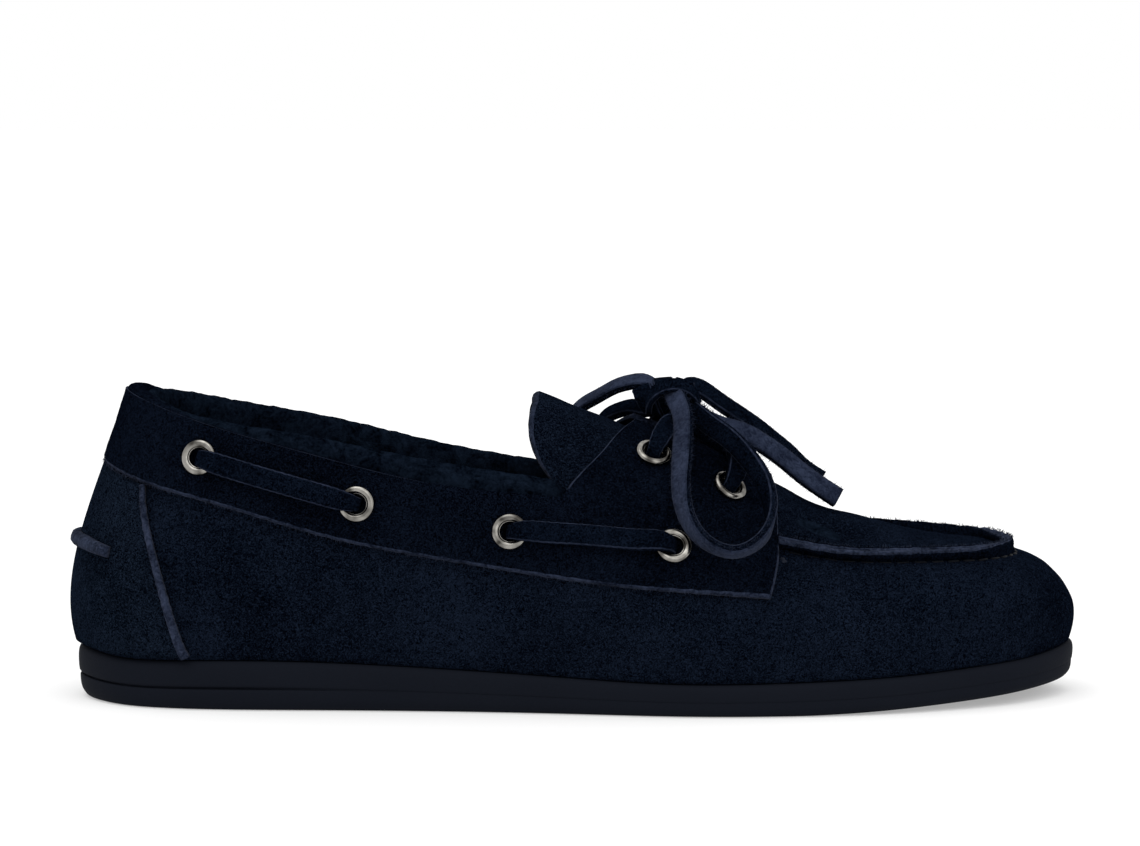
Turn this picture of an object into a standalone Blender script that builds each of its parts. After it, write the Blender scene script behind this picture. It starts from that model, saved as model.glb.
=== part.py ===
"""Right boat shoe in navy suede: sole, upper, collar band, tongue, eyelets and lace.

Metres, +Z up. The heel is at X = 0, the toe points along +X, the outer side faces -Y.
"""

import math

import bmesh
import bpy
import numpy as np
from mathutils import Vector

# Driving sizes
LENGTH = 0.2617
BALL_WIDTH = 0.0900
HEEL_HEIGHT = 0.0807

# The heel's distance behind the origin, which lies under the middle of the shoe.
HEEL_TO_ORIGIN = 0.13055

# Leather, rubber and padding
CLEARANCE = 0.0003
UPPER_WALL = 0.0018
BAND_THICKNESS = 0.0016
COUNTER_THICKNESS = 0.0010
TAB_THICKNESS = 0.0012
TONGUE_THICKNESS = 0.0022
INSOLE_THICKNESS = 0.0040
SEAM_HEIGHT = 0.0028
SEAM_HALF_WIDTH = 0.0013
SEAM_FOOT = 0.0008

# Sole
SOLE_MARGIN = 0.0008
GROOVE_DEPTH = 0.0014
GROOVE_END = 0.090
TOE_SPRING = 0.0042
SPRING_START = 0.187

# Throat
THROAT_HALF_WIDTH = 0.0090
THROAT_END = 7.8

# Padded collar
ROLL_HALF_THICKNESS = 0.0026
ROLL_HALF_HEIGHT = 0.0070
ROLL_END = 5.70

# Eyelets
EYELET_FLANGE_RADIUS = 0.0052
EYELET_BARREL_RADIUS = 0.0033
EYELET_BORE_RADIUS = 0.0026
EYELET_RISE = 0.0011
EYELET_DEPTH = 0.0015
EYELET_SEGMENTS = 16

# Lace
LACE_WIDTH = 0.0055
LACE_THICKNESS = 0.0018

# Sections of the last from heel to toe. Lengths are shares of LENGTH, widths shares of
# BALL_WIDTH and heights shares of HEEL_HEIGHT. The feather is the line where the upper meets
# the sole. The rim is the collar's top line behind the throat and the apron seam in front.
# Kick is the wall's outward angle at the feather, lean its angle from level at the rim.
SECTION_COLUMNS = (
    "feather_x", "feather_outer", "feather_inner", "feather_z",
    "rim_x", "rim_outer", "rim_inner", "rim_outer_z", "rim_inner_z", "kick", "lean",
)
SECTIONS = (
    (0.0100, 0.000, 0.000, 0.171, 0.0625, 0.000, 0.000, 0.988, 0.988, 18, 74),
    (0.0335, 0.176, 0.174, 0.161, 0.0745, 0.120, 0.120, 0.972, 0.974, 18, 76),
    (0.0780, 0.286, 0.280, 0.152, 0.1120, 0.230, 0.222, 0.930, 0.935, 18, 80),
    (0.1528, 0.341, 0.330, 0.157, 0.1720, 0.305, 0.284, 0.872, 0.876, 16, 84),
    (0.2522, 0.356, 0.333, 0.154, 0.2637, 0.344, 0.320, 0.794, 0.799, 15, 87),
    (0.3668, 0.377, 0.318, 0.138, 0.3707, 0.360, 0.333, 0.714, 0.719, 14, 84),
    (0.4776, 0.418, 0.344, 0.119, 0.4880, 0.356, 0.339, 0.668, 0.670, 13, 66),
    (0.5770, 0.469, 0.420, 0.104, 0.5885, 0.389, 0.372, 0.613, 0.626, 12, 50),
    (0.6690, 0.482, 0.485, 0.104, 0.6954, 0.306, 0.333, 0.520, 0.545, 12, 34),
    (0.7757, 0.437, 0.502, 0.112, 0.7681, 0.291, 0.344, 0.478, 0.503, 14, 24),
    (0.8502, 0.358, 0.467, 0.123, 0.8330, 0.272, 0.329, 0.473, 0.488, 15, 18),
    (0.9080, 0.270, 0.421, 0.136, 0.8820, 0.214, 0.294, 0.470, 0.479, 15, 14),
    (0.9590, 0.136, 0.327, 0.150, 0.9160, 0.122, 0.228, 0.469, 0.473, 16, 13),
    (0.9950, -0.100, 0.100, 0.169, 0.9335, -0.056, 0.056, 0.467, 0.467, 18, 12),
)

# The crown line over the instep, from the tongue's tip to the apron, one row a section.
# Section, x, y, height and rise in degrees.
CROWN = (
    (4, 0.4635, 0.000, 1.014, 70),
    (5, 0.5120, 0.000, 0.953, 68),
    (6, 0.5617, 0.000, 0.887, 62),
    (7, 0.6230, 0.000, 0.809, 50),
    (8, 0.6950, 0.000, 0.691, 34),
    (9, 0.7640, 0.014, 0.588, 28),
    (10, 0.8180, 0.028, 0.536, 16),
    (11, 0.8560, 0.040, 0.511, 10),
    (12, 0.8830, 0.050, 0.498, 8),
    (13, 0.8970, 0.056, 0.494, 7),
)

# The tongue spreads behind the eyestays from this shoulder line.
# Section, x, outer and inner width, height.
SHOULDER = (
    (4, 0.4735, 0.350, 0.333, 0.607),
    (5, 0.4820, 0.354, 0.336, 0.637),
)

# The band's lower edge and how far the padded roll stands above the rim, one row a section.
BAND = (
    (0, 0.765, 0.014),
    (1, 0.734, 0.024),
    (2, 0.689, 0.038),
    (3, 0.636, 0.055),
    (4, 0.550, 0.072),
    (5, 0.483, 0.074),
    (6, 0.428, 0.080),
    (7, 0.397, 0.078),
    (8, 0.364, 0.078),
)

# The counter's front edge, from the sole to the band.
# Height and x.
COUNTER_EDGE = (
    (0.155, 0.1285),
    (0.207, 0.1200),
    (0.302, 0.1104),
    (0.394, 0.1024),
    (0.472, 0.0955),
    (0.564, 0.0879),
    (0.641, 0.0837),
    (0.720, 0.0833),
)

# Eyelet centres on the band of either side, as shares of length and height.
SIDE_EYELETS = (
    ("1", 0.1372, 0.795),
    ("2", 0.2896, 0.657),
    ("3", 0.4371, 0.571),
    ("4", 0.5934, 0.532),
)
THROAT_EYELETS = (
    ("5", 0.6496, 0.696),
    ("6", 0.5758, 0.803),
)

# Points between two rows of sections, closer round heel and toe.
STEPS = (3, 3, 2, 2, 2, 2, 3, 3, 3, 3, 3, 3, 3)

LAST_ROW = len(SECTIONS) - 1
LOOP_LENGTH = 2.0 * LAST_ROW
THROAT_ROW = 6
BAND_FRONT_ROW = 8

# How far a wall curve's handles reach at heel and toe, and a crown curve's
UP = np.array((0.0, 0.0, 1.0))
HEEL_PULL = (0.30, 0.38)
TOE_PULL = (0.42, 0.45)
CROWN_PULL = (0.36, 0.42)

# The sole's side from tread to lip: share of height, inset in metres and share of the groove
SOLE_PROFILE = (
    (0.00, 0.0034, 0.0),
    (0.04, 0.0019, 0.0),
    (0.13, 0.0009, 0.0),
    (0.36, 0.0002, 0.0),
    (0.40, 0.0002, 0.8),
    (0.46, 0.0002, 1.0),
    (0.50, 0.0002, 0.8),
    (0.54, 0.0000, 0.0),
    (0.75, -0.0002, 0.0),
    (0.94, 0.0002, 0.0),
    (1.00, 0.0010, 0.0),
)

# Insole
INSOLE_SLACK = 0.0007
INSOLE_RINGS = ((0.0, 0.0004), (0.3, 0.0), (1.0, 0.0003))

# Levels of the wall, the apron seam and the instep
WALL_SHARES = (0.0, 0.13, 0.27, 0.42, 0.58, 0.74, 0.88)
SEAM_START = 0.95
LID_STEPS = 3
CROWN_STEPS = 2

# Band
BAND_LEVELS = 7
BAND_LID_LEVELS = 6
BAND_GAP = 0.0004

# Counter
COUNTER_COLUMNS = 8
COUNTER_LEVELS = 6
COUNTER_FOOT = 0.02
COUNTER_TOP_GAP = 0.0005
COUNTER_GAP = 0.0004

# Heel tab, with its lower and upper edge as shares of height at three rows
TAB_ROWS = 1.35
TAB_COLUMNS = 7
TAB = (
    (0.00, 0.478, 0.540),
    (0.70, 0.474, 0.532),
    (1.35, 0.462, 0.508),
)

# Tongue
TONGUE_FRONT = 8.5
TONGUE_GAP = 0.0008
TONGUE_SIDE = 0.10
TONGUE_ACROSS = 7

# Padded roll's section
ROLL_CORNERS = 10
ROLL_WALL_GAP = 0.0005

# Eyelets against the band and the cutters that pierce it
EYELET_SEAT = 0.0005
CUTTER_REACH = 0.0045

# Lace between two eyelets, out of the first: distance, lift and width in metres
BAR_START = (
    (0.0000, -0.0004, 0.0034),
    (0.0006, 0.0013, 0.0034),
    (0.0019, 0.0028, 0.0044),
    (0.0048, 0.0034, 0.0052),
    (0.0078, 0.0025, 0.0055),
)
BAR_LIFT = 0.0017
BAR_MIDDLES = 5

# Lace out of a throat eyelet: distance, lift and width in metres
THROAT_BAR = (
    (0.0000, -0.0004, 0.0034),
    (0.0006, 0.0013, 0.0034),
    (0.0019, 0.0028, 0.0044),
    (0.0056, 0.0033, 0.0052),
)

# Free lace: two loops and two ends, as the centre line of the flat lace in metres
OUTER_LOOP = (
    (0.1555, -0.0090, 0.0796),
    (0.1578, -0.0154, 0.0758),
    (0.1583, -0.0218, 0.0708),
    (0.1578, -0.0280, 0.0649),
    (0.1574, -0.0333, 0.0600),
    (0.1576, -0.0386, 0.0546),
    (0.1592, -0.0420, 0.0495),
    (0.1628, -0.0440, 0.0450),
    (0.1666, -0.0445, 0.0428),
    (0.1707, -0.0438, 0.0420),
    (0.1753, -0.0418, 0.0434),
    (0.1787, -0.0388, 0.0463),
    (0.1801, -0.0352, 0.0502),
    (0.1798, -0.0315, 0.0544),
    (0.1777, -0.0275, 0.0597),
    (0.1743, -0.0240, 0.0643),
    (0.1700, -0.0190, 0.0685),
    (0.1650, -0.0138, 0.0718),
    (0.1612, -0.0096, 0.0748),
)
INNER_LOOP = (
    (0.1517, 0.0088, 0.0793),
    (0.1491, 0.0098, 0.0808),
    (0.1455, 0.0108, 0.0807),
    (0.1418, 0.0118, 0.0796),
    (0.1374, 0.0138, 0.0771),
    (0.1332, 0.0170, 0.0745),
    (0.1290, 0.0240, 0.0695),
    (0.1262, 0.0335, 0.0630),
    (0.1262, 0.0392, 0.0570),
    (0.1300, 0.0415, 0.0535),
    (0.1341, 0.0398, 0.0571),
    (0.1358, 0.0338, 0.0632),
    (0.1382, 0.0270, 0.0696),
    (0.1421, 0.0213, 0.0724),
    (0.1457, 0.0172, 0.0736),
    (0.1491, 0.0130, 0.0736),
)
INNER_END = (
    (0.1618, 0.0060, 0.0800),
    (0.1676, 0.0075, 0.0765),
    (0.1742, 0.0085, 0.0720),
    (0.1787, 0.0090, 0.0688),
    (0.1826, 0.0092, 0.0656),
    (0.1866, 0.0090, 0.0622),
    (0.1900, 0.0085, 0.0588),
    (0.1952, 0.0080, 0.0552),
)
OUTER_END = (
    (0.1631, -0.0030, 0.0729),
    (0.1673, -0.0035, 0.0706),
    (0.1740, -0.0035, 0.0686),
    (0.1782, -0.0030, 0.0664),
    (0.1821, -0.0025, 0.0638),
    (0.1860, -0.0020, 0.0608),
    (0.1899, -0.0015, 0.0576),
    (0.1944, -0.0010, 0.0544),
    (0.1991, -0.0005, 0.0513),
)

# The knot: a flat helix of lace about a crosswise axis
KNOT_CENTRE = (0.1565, 0.0, 0.0776)
KNOT_RADIUS = 0.0036
KNOT_PITCH = 0.0050
KNOT_TURNS = 1.5
KNOT_WIDTH = 0.0046
CORD_STEP = 0.0045

COLLECTION_NAME = "boat_shoe_right"
ROOT_NAME = "shoe_origin"
CUTTER_COLLECTION_NAME = "boat_shoe_cutters"


# Splines

def spline_slopes(knots, values, periodic):
    """Second-order smooth slopes of a cubic spline through values at knots."""
    count = len(knots)
    matrix = np.zeros((count, count))
    right = np.zeros((count, values.shape[1]))
    steps = np.diff(knots)
    for i in range(1, count - 1):
        before = steps[i - 1]
        after = steps[i]
        matrix[i, i - 1] = 1.0 / before
        matrix[i, i] = 2.0 / before + 2.0 / after
        matrix[i, i + 1] = 1.0 / after
        right[i] = 3.0 * ((values[i] - values[i - 1]) / before**2 + (values[i + 1] - values[i]) / after**2)
    if periodic:
        before = steps[-1]
        after = steps[0]
        matrix[0, -2] = 1.0 / before
        matrix[0, 0] = 2.0 / before + 2.0 / after
        matrix[0, 1] = 1.0 / after
        right[0] = 3.0 * ((values[0] - values[-2]) / before**2 + (values[1] - values[0]) / after**2)
        matrix[-1, 0] = 1.0
        matrix[-1, -1] = -1.0
    else:
        matrix[0, 0] = 2.0
        matrix[0, 1] = 1.0
        right[0] = 3.0 * (values[1] - values[0]) / steps[0]
        matrix[-1, -1] = 2.0
        matrix[-1, -2] = 1.0
        right[-1] = 3.0 * (values[-1] - values[-2]) / steps[-1]
    return np.linalg.solve(matrix, right)


class Spline:
    """A smooth curve through rows of values."""

    def __init__(self, knots, values, periodic=False):
        self.knots = np.array(knots, dtype=float)
        self.values = np.array(values, dtype=float)
        self.periodic = periodic
        self.slopes = spline_slopes(self.knots, self.values, periodic)

    def __call__(self, place):
        low = self.knots[0]
        high = self.knots[-1]
        if self.periodic:
            place = low + (place - low) % (high - low)
        place = min(max(place, low), high)
        i = int(np.searchsorted(self.knots, place, side="right")) - 1
        i = min(max(i, 0), len(self.knots) - 2)
        step = self.knots[i + 1] - self.knots[i]
        t = (place - self.knots[i]) / step
        start = self.values[i]
        end = self.values[i + 1]
        h00 = (1 + 2 * t) * (1 - t) ** 2
        h10 = t * (1 - t) ** 2
        h01 = t * t * (3 - 2 * t)
        h11 = t * t * (t - 1)
        return h00 * start + h10 * step * self.slopes[i] + h01 * end + h11 * step * self.slopes[i + 1]


# The last

def section(row, column):
    return SECTIONS[row][SECTION_COLUMNS.index(column)]


def loop_rows():
    """Rows of the whole loop: heel to toe on the outer side, and back on the inner side."""
    outer = [(row, row, -1) for row in range(LAST_ROW + 1)]
    inner = [(2 * LAST_ROW - row, row, 1) for row in range(LAST_ROW, -1, -1)]
    return outer + inner[1:]


def loop_point(row, side, level):
    """A point of the feather or the rim on one side."""
    x = section(row, level + "_x") * LENGTH
    if side < 0:
        y = -section(row, level + "_outer") * BALL_WIDTH
    else:
        y = section(row, level + "_inner") * BALL_WIDTH
    if level == "feather":
        z = section(row, "feather_z") * HEEL_HEIGHT
    elif side < 0:
        z = section(row, "rim_outer_z") * HEEL_HEIGHT
    else:
        z = section(row, "rim_inner_z") * HEEL_HEIGHT
    return (x, y, z)


def make_loop(level):
    rows = loop_rows()
    knots = [place for place, row, side in rows]
    values = [loop_point(row, side, level) for place, row, side in rows]
    return Spline(knots, values, periodic=True)


feather_loop = make_loop("feather")
rim_loop = make_loop("rim")
angle_spline = Spline(
    range(LAST_ROW + 1), [(section(row, "kick"), section(row, "lean")) for row in range(LAST_ROW + 1)],
)
band_spline = Spline([row[0] for row in BAND], [(row[1] * HEEL_HEIGHT, row[2] * HEEL_HEIGHT) for row in BAND])
crown_spline = Spline(
    [row[0] for row in CROWN],
    [(row[1] * LENGTH, row[2] * BALL_WIDTH, row[3] * HEEL_HEIGHT, row[4]) for row in CROWN],
)


def row_of(place):
    """The section row of a place on the loop, the same on both sides."""
    place = place % LOOP_LENGTH
    return min(place, LOOP_LENGTH - place)


def side_place(row, side):
    """The place on the loop of a section row on the outer (-1) or inner (1) side."""
    return row if side < 0 else (LOOP_LENGTH - row) % LOOP_LENGTH


def outward(place):
    """The level direction that points out of the plan at a place on the feather."""
    small = 0.02
    tangent = feather_loop(place + small) - feather_loop(place - small)
    normal = np.array((tangent[1], -tangent[0], 0.0))
    return normal / np.linalg.norm(normal)


def bezier(points, t):
    a, b, c, d = points
    return (1 - t) ** 3 * a + 3 * t * (1 - t) ** 2 * b + 3 * t * t * (1 - t) * c + t**3 * d


def wall_point(place, t):
    """The upper's outer face between feather (t = 0) and rim (t = 1)."""
    foot = feather_loop(place) + UP * CLEARANCE
    rim = rim_loop(place)
    kick, lean = np.radians(angle_spline(row_of(place)))
    out = outward(place)
    reach = np.linalg.norm(rim - foot)
    share = row_of(place) / LAST_ROW
    low_pull = HEEL_PULL[0] + (TOE_PULL[0] - HEEL_PULL[0]) * share
    high_pull = HEEL_PULL[1] + (TOE_PULL[1] - HEEL_PULL[1]) * share
    low = foot + (out * math.sin(kick) + UP * math.cos(kick)) * reach * low_pull
    high = rim - (UP * math.sin(lean) - out * math.cos(lean)) * reach * high_pull
    return bezier((foot, low, high, rim), t)


def lid_rim(row, side):
    """Where a crosswise line of the instep leaves the rim."""
    if row >= THROAT_ROW:
        return rim_loop(side_place(row, side))
    points = []
    for line in SHOULDER:
        width = line[2] if side < 0 else line[3]
        points.append((line[1] * LENGTH, side * width * BALL_WIDTH, line[4] * HEEL_HEIGHT))
    points.append(tuple(rim_loop(side_place(THROAT_ROW, side))))
    return Spline((4, 5, 6), points)(row)


def lid_point(row, side, w):
    """The instep and apron between rim (w = 0) and crown line (w = 1)."""
    rim = lid_rim(row, side)
    crown = crown_spline(row)
    top = crown[:3]
    rise = math.radians(crown[3])
    level = np.array((top[0] - rim[0], top[1] - rim[1], 0.0))
    level = level / np.linalg.norm(level)
    reach = np.linalg.norm(top - rim)
    low = rim + (level * math.cos(rise) + UP * math.sin(rise)) * reach * CROWN_PULL[0]
    across = np.array((0.0, side, 0.0))
    blend = min(max((row - 9.0) / 4.0, 0.0), 1.0)
    away = across * (1 - blend) - level * blend
    high = top + away / np.linalg.norm(away) * reach * CROWN_PULL[1]
    return bezier((rim, low, high, top), w)


def skin(place, v):
    """Outer face of the last: v from 0 to 1 is the wall, from 1 to 2 the instep."""
    if v <= 1.0:
        return wall_point(place, v)
    side = -1 if place % LOOP_LENGTH <= LAST_ROW else 1
    return lid_point(row_of(place), side, v - 1.0)


def wall_normal(place, v):
    small = 0.01
    low = min(max(v, small), 1 - small)
    along = wall_point(place + small, low) - wall_point(place - small, low)
    up = wall_point(place, low + small) - wall_point(place, low - small)
    normal = np.cross(along, up)
    return normal / np.linalg.norm(normal)


def lid_normal(row, side, w):
    small = 0.01
    w = min(max(w, small), 1 - small)
    first = max(row - small, CROWN[0][0])
    last = min(row + small, LAST_ROW)
    along = lid_point(last, side, w) - lid_point(first, side, w)
    up = lid_point(row, side, w + small) - lid_point(row, side, w - small)
    if row > LAST_ROW - small:
        return lid_normal(LAST_ROW - 2 * small, side, w)
    normal = np.cross(along, up) * -side
    return normal / np.linalg.norm(normal)


def normal_at(place, v):
    """Outward direction of the skin, halved at the fold of the rim."""
    row = row_of(place)
    side = -1 if place % LOOP_LENGTH <= LAST_ROW else 1
    if v < 0.999 or row < THROAT_ROW:
        return wall_normal(place, min(v, 1.0))
    if v > 1.999:
        middle = lid_normal(row, -1, 0.99) + lid_normal(row, 1, 0.99)
        return middle / np.linalg.norm(middle)
    if v > 1.001:
        return lid_normal(row, side, v - 1.0)
    wall = wall_normal(place, 1.0)
    lid = lid_normal(row, side, 0.0)
    half = (wall + lid) / np.linalg.norm(wall + lid)
    return half / max(np.dot(half, wall), 0.5)


def lifted(place, v, lift):
    """A point that stands off the skin by a given distance."""
    return skin(place, v) + normal_at(place, v) * lift


def wall_share(place, height):
    """The wall parameter at a height."""
    low = 0.0
    high = 1.0
    for step in range(30):
        middle = (low + high) / 2
        if wall_point(place, middle)[2] < height:
            low = middle
        else:
            high = middle
    return (low + high) / 2


def throat_share(row, side):
    """The instep parameter where the throat's edge runs, kept in front of the throat."""
    row = min(row, BAND_FRONT_ROW)
    centre = crown_spline(row)[1]
    low = 0.0
    high = 1.0
    for step in range(30):
        middle = (low + high) / 2
        if abs(lid_point(row, side, middle)[1] - centre) > THROAT_HALF_WIDTH:
            low = middle
        else:
            high = middle
    return (low + high) / 2


def band_edge(place):
    """The wall parameter of the band's lower edge."""
    return wall_share(place, band_spline(row_of(place))[0])


def rows_between(first, last):
    """Section rows and the places between them, closer round heel and toe."""
    rows = []
    for row in range(LAST_ROW):
        for step in range(STEPS[row]):
            rows.append(row + step / STEPS[row])
    rows.append(float(LAST_ROW))
    inside = [row for row in rows if first + 0.02 < row < last - 0.02]
    return [first] + inside + [last]


# Scene and mesh helpers

def clear_scene():
    for thing in list(bpy.data.objects):
        bpy.data.objects.remove(thing)


def make_collection(name):
    collection = bpy.data.collections.new(name)
    bpy.context.scene.collection.children.link(collection)
    return collection


def make_material(name, colour, roughness, metallic):
    material = bpy.data.materials.new(name)
    material.use_nodes = True
    shader = material.node_tree.nodes["Principled BSDF"]
    shader.inputs["Base Color"].default_value = (*colour, 1.0)
    shader.inputs["Roughness"].default_value = roughness
    shader.inputs["Metallic"].default_value = metallic
    return material


def make_root(collection):
    """The empty that carries every piece and sets the shoe over the origin."""
    root = bpy.data.objects.new(ROOT_NAME, None)
    root.location = (-HEEL_TO_ORIGIN, 0.0, 0.0)
    collection.objects.link(root)
    return root


def add_object(name, mesh, material, collection):
    thing = bpy.data.objects.new(name, mesh)
    thing.parent = bpy.data.objects[ROOT_NAME]
    mesh.materials.append(material)
    collection.objects.link(thing)
    for polygon in mesh.polygons:
        polygon.use_smooth = True
    return thing


def mesh_from(name, points, faces):
    """A mesh with shared points merged and its faces turned outwards."""
    mesh = bpy.data.meshes.new(name)
    mesh.from_pydata([tuple(point) for point in points], [], faces)
    work = bmesh.new()
    work.from_mesh(mesh)
    bmesh.ops.remove_doubles(work, verts=work.verts, dist=0.00002)
    bmesh.ops.recalc_face_normals(work, faces=work.faces)
    bmesh.ops.triangulate(work, faces=work.faces)
    work.to_mesh(mesh)
    work.free()
    return mesh


def slab(name, outer, inner, cells):
    """A closed shell between two nets of points that share the same cells."""
    count = len(outer)
    faces = []
    edges = {}
    for cell in cells:
        faces.append(tuple(cell))
        faces.append(tuple(count + corner for corner in reversed(cell)))
        for i in range(len(cell)):
            edge = (cell[i], cell[(i + 1) % len(cell)])
            if (edge[1], edge[0]) in edges:
                del edges[(edge[1], edge[0])]
            else:
                edges[edge] = True
    for start, end in edges:
        faces.append((end, start, count + start, count + end))
    return mesh_from(name, list(outer) + list(inner), faces)


def grid_cells(columns, rows, closed=False):
    """Cells of a net that has its points column by column."""
    cells = []
    last = columns if closed else columns - 1
    for i in range(last):
        for j in range(rows - 1):
            a = i * rows + j
            b = ((i + 1) % columns) * rows + j
            cells.append((a, b, b + 1, a + 1))
    return cells


def net_slab(name, net, lift_out, lift_in, closed=False):
    """A slab over a net of (place, v) columns between two lifts."""
    outer = [lifted(place, v, lift_out) for column in net for place, v in column]
    inner = [lifted(place, v, lift_in) for column in net for place, v in column]
    return slab(name, outer, inner, grid_cells(len(net), len(net[0]), closed))


def rung_faces(ring, flip):
    """Faces that fill a loop of points, laid crosswise from side to side."""
    count = len(ring)
    faces = []
    for i in range(count // 2):
        a = i
        b = i + 1
        c = (count - i - 1) % count
        d = (count - i) % count
        corners = []
        for corner in (a, b, c, d):
            if ring[corner] not in corners:
                corners.append(ring[corner])
        if len(corners) > 2:
            faces.append(tuple(reversed(corners)) if flip else tuple(corners))
    return faces


def loop_places():
    """Places right round the loop, the same rows on both sides."""
    rows = rows_between(0.0, float(LAST_ROW))
    outer = [side_place(row, -1) for row in rows]
    inner = [side_place(row, 1) for row in reversed(rows[1:-1])]
    return outer + inner


def stacked_rings(name, rings):
    """A closed solid of equal rings, its ends filled crosswise."""
    count = len(rings[0])
    points = [point for ring in rings for point in ring]
    faces = []
    for level in range(len(rings) - 1):
        for i in range(count):
            a = level * count + i
            b = level * count + (i + 1) % count
            faces.append((a, b, b + count, a + count))
    faces += rung_faces(list(range(count)), True)
    top = (len(rings) - 1) * count
    faces += rung_faces(list(range(top, top + count)), False)
    return mesh_from(name, points, faces)


# Sole and insole

def underside(x):
    """Height of the tread: flat to the ball of the foot, then toe spring."""
    share = max(x - SPRING_START, 0.0) / (LENGTH - SPRING_START)
    return TOE_SPRING * share**1.5


def make_sole():
    rings = []
    for height, inset, groove in SOLE_PROFILE:
        ring = []
        for place in loop_places():
            edge = feather_loop(place)
            fade = min(max((GROOVE_END - edge[0]) / (GROOVE_END / 3), 0.0), 1.0)
            depth = inset + groove * GROOVE_DEPTH * fade - SOLE_MARGIN
            point = edge - outward(place) * depth
            low = underside(point[0])
            point[2] = low + height * (edge[2] - low)
            ring.append(point)
        rings.append(ring)
    return stacked_rings("sole", rings)


def make_insole():
    rings = []
    for height, extra in INSOLE_RINGS:
        ring = []
        for place in loop_places():
            edge = feather_loop(place)
            point = edge - outward(place) * (UPPER_WALL + INSOLE_SLACK + extra)
            point[2] = edge[2] + CLEARANCE + height * INSOLE_THICKNESS
            ring.append(point)
        rings.append(ring)
    return stacked_rings("insole", rings)


# Upper

def seam_shares(place):
    """Wall and instep parameters at the foot and the edge of the apron seam."""
    row = row_of(place)
    side = -1 if place % LOOP_LENGTH <= LAST_ROW else 1
    small = 0.01
    wall_speed = np.linalg.norm(wall_point(place, 1.0) - wall_point(place, 1.0 - small)) / small
    wide = (SEAM_HALF_WIDTH + SEAM_FOOT) / wall_speed
    narrow = SEAM_HALF_WIDTH / wall_speed
    if row < THROAT_ROW:
        return (1 - wide, 1 - narrow, 1 + narrow, 1 + wide)
    lid_speed = np.linalg.norm(lid_point(row, side, small) - lid_point(row, side, 0.0)) / small
    return (
        1 - wide, 1 - narrow,
        1 + SEAM_HALF_WIDTH / lid_speed, 1 + (SEAM_HALF_WIDTH + SEAM_FOOT) / lid_speed,
    )


def seam_lift(row):
    """The apron seam stands up only in front of the band."""
    return 0.0 if row <= BAND_FRONT_ROW + 0.05 else SEAM_HEIGHT


def make_upper():
    rows = rows_between(0.0, float(LAST_ROW))
    cut = [BAND_FRONT_ROW + 0.06, THROAT_END]
    rows = sorted(rows + cut)
    places = [side_place(row, -1) for row in rows] + [side_place(row, 1) for row in reversed(rows[1:-1])]
    outer = []
    inner = []
    cells = []
    index = {}

    def add(key, place, v, lift):
        if key not in index:
            index[key] = len(outer)
            outer.append(lifted(place, v, 0.0) + lift)
            inner.append(lifted(place, v, -UPPER_WALL))
        return index[key]

    columns = []
    for i, place in enumerate(places):
        row = row_of(place)
        side = -1 if place % LOOP_LENGTH <= LAST_ROW else 1
        foot, edge, lid_edge, lid_foot = seam_shares(place)
        height = seam_lift(row)
        seam_up = normal_at(place, 1.0)
        seam_up = seam_up / np.linalg.norm(seam_up) * height
        shares = [share * foot / SEAM_START for share in WALL_SHARES] + [foot, edge, 1.0]
        lifts = [0.0 * seam_up] * (len(WALL_SHARES) + 1) + [seam_up, seam_up * 1.08]
        column = []
        for j, (v, lift) in enumerate(zip(shares, lifts)):
            column.append(add((i, j), place, v, lift))
        wall_count = len(shares)
        if row >= THROAT_ROW:
            slot = 1 + throat_share(row, side)
            lid = [lid_edge, lid_foot]
            lid += [lid_foot + (slot - lid_foot) * (step + 1) / LID_STEPS for step in range(LID_STEPS)]
            lid += [slot + (2 - slot) * (step + 1) / CROWN_STEPS for step in range(CROWN_STEPS)]
            lid_lifts = [seam_up] + [0.0 * seam_up] * (len(lid) - 1)
            for j, (v, lift) in enumerate(zip(lid, lid_lifts)):
                key = ("crown", round(row, 6)) if j == len(lid) - 1 else (i, wall_count + j)
                column.append(add(key, place, v, lift))
        columns.append(column)
        base = inner[column[0]]
        inner[column[0]] = np.array((base[0], base[1], outer[column[0]][2]))

    count = len(columns)
    slot_level = len(WALL_SHARES) + 3 + 2 + LID_STEPS - 1
    for i in range(count):
        first = columns[i]
        second = columns[(i + 1) % count]
        row = min(row_of(places[i]), row_of(places[(i + 1) % count]))
        levels = min(len(first), len(second)) - 1
        for j in range(levels):
            if j >= slot_level and row < THROAT_END - 0.001:
                continue
            cells.append((first[j], second[j], second[j + 1], first[j + 1]))
    return slab("upper", outer, inner, cells)


# Overlays

def band_lifts():
    low = BAND_GAP
    return low, low + BAND_THICKNESS


def make_band():
    rows = rows_between(0.0, float(BAND_FRONT_ROW))
    places = [side_place(row, 1) for row in reversed(rows[1:])] + [side_place(row, -1) for row in rows]
    low, high = band_lifts()
    outer = []
    inner = []
    columns = []
    for place in places:
        row = row_of(place)
        side = -1 if place % LOOP_LENGTH <= LAST_ROW else 1
        start = band_edge(place)
        shares = [start + (1 - start) * step / BAND_LEVELS for step in range(BAND_LEVELS + 1)]
        if row >= THROAT_ROW:
            slot = throat_share(row, side)
            shares += [1 + slot * (step + 1) / BAND_LID_LEVELS for step in range(BAND_LID_LEVELS)]
        column = []
        for v in shares:
            column.append(len(outer))
            outer.append(lifted(place, v, high))
            inner.append(lifted(place, v, low))
        columns.append(column)
    cells = []
    for first, second in zip(columns[:-1], columns[1:]):
        for j in range(min(len(first), len(second)) - 1):
            cells.append((first[j], second[j], second[j + 1], first[j + 1]))
    return slab("collar_band", outer, inner, cells)


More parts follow.
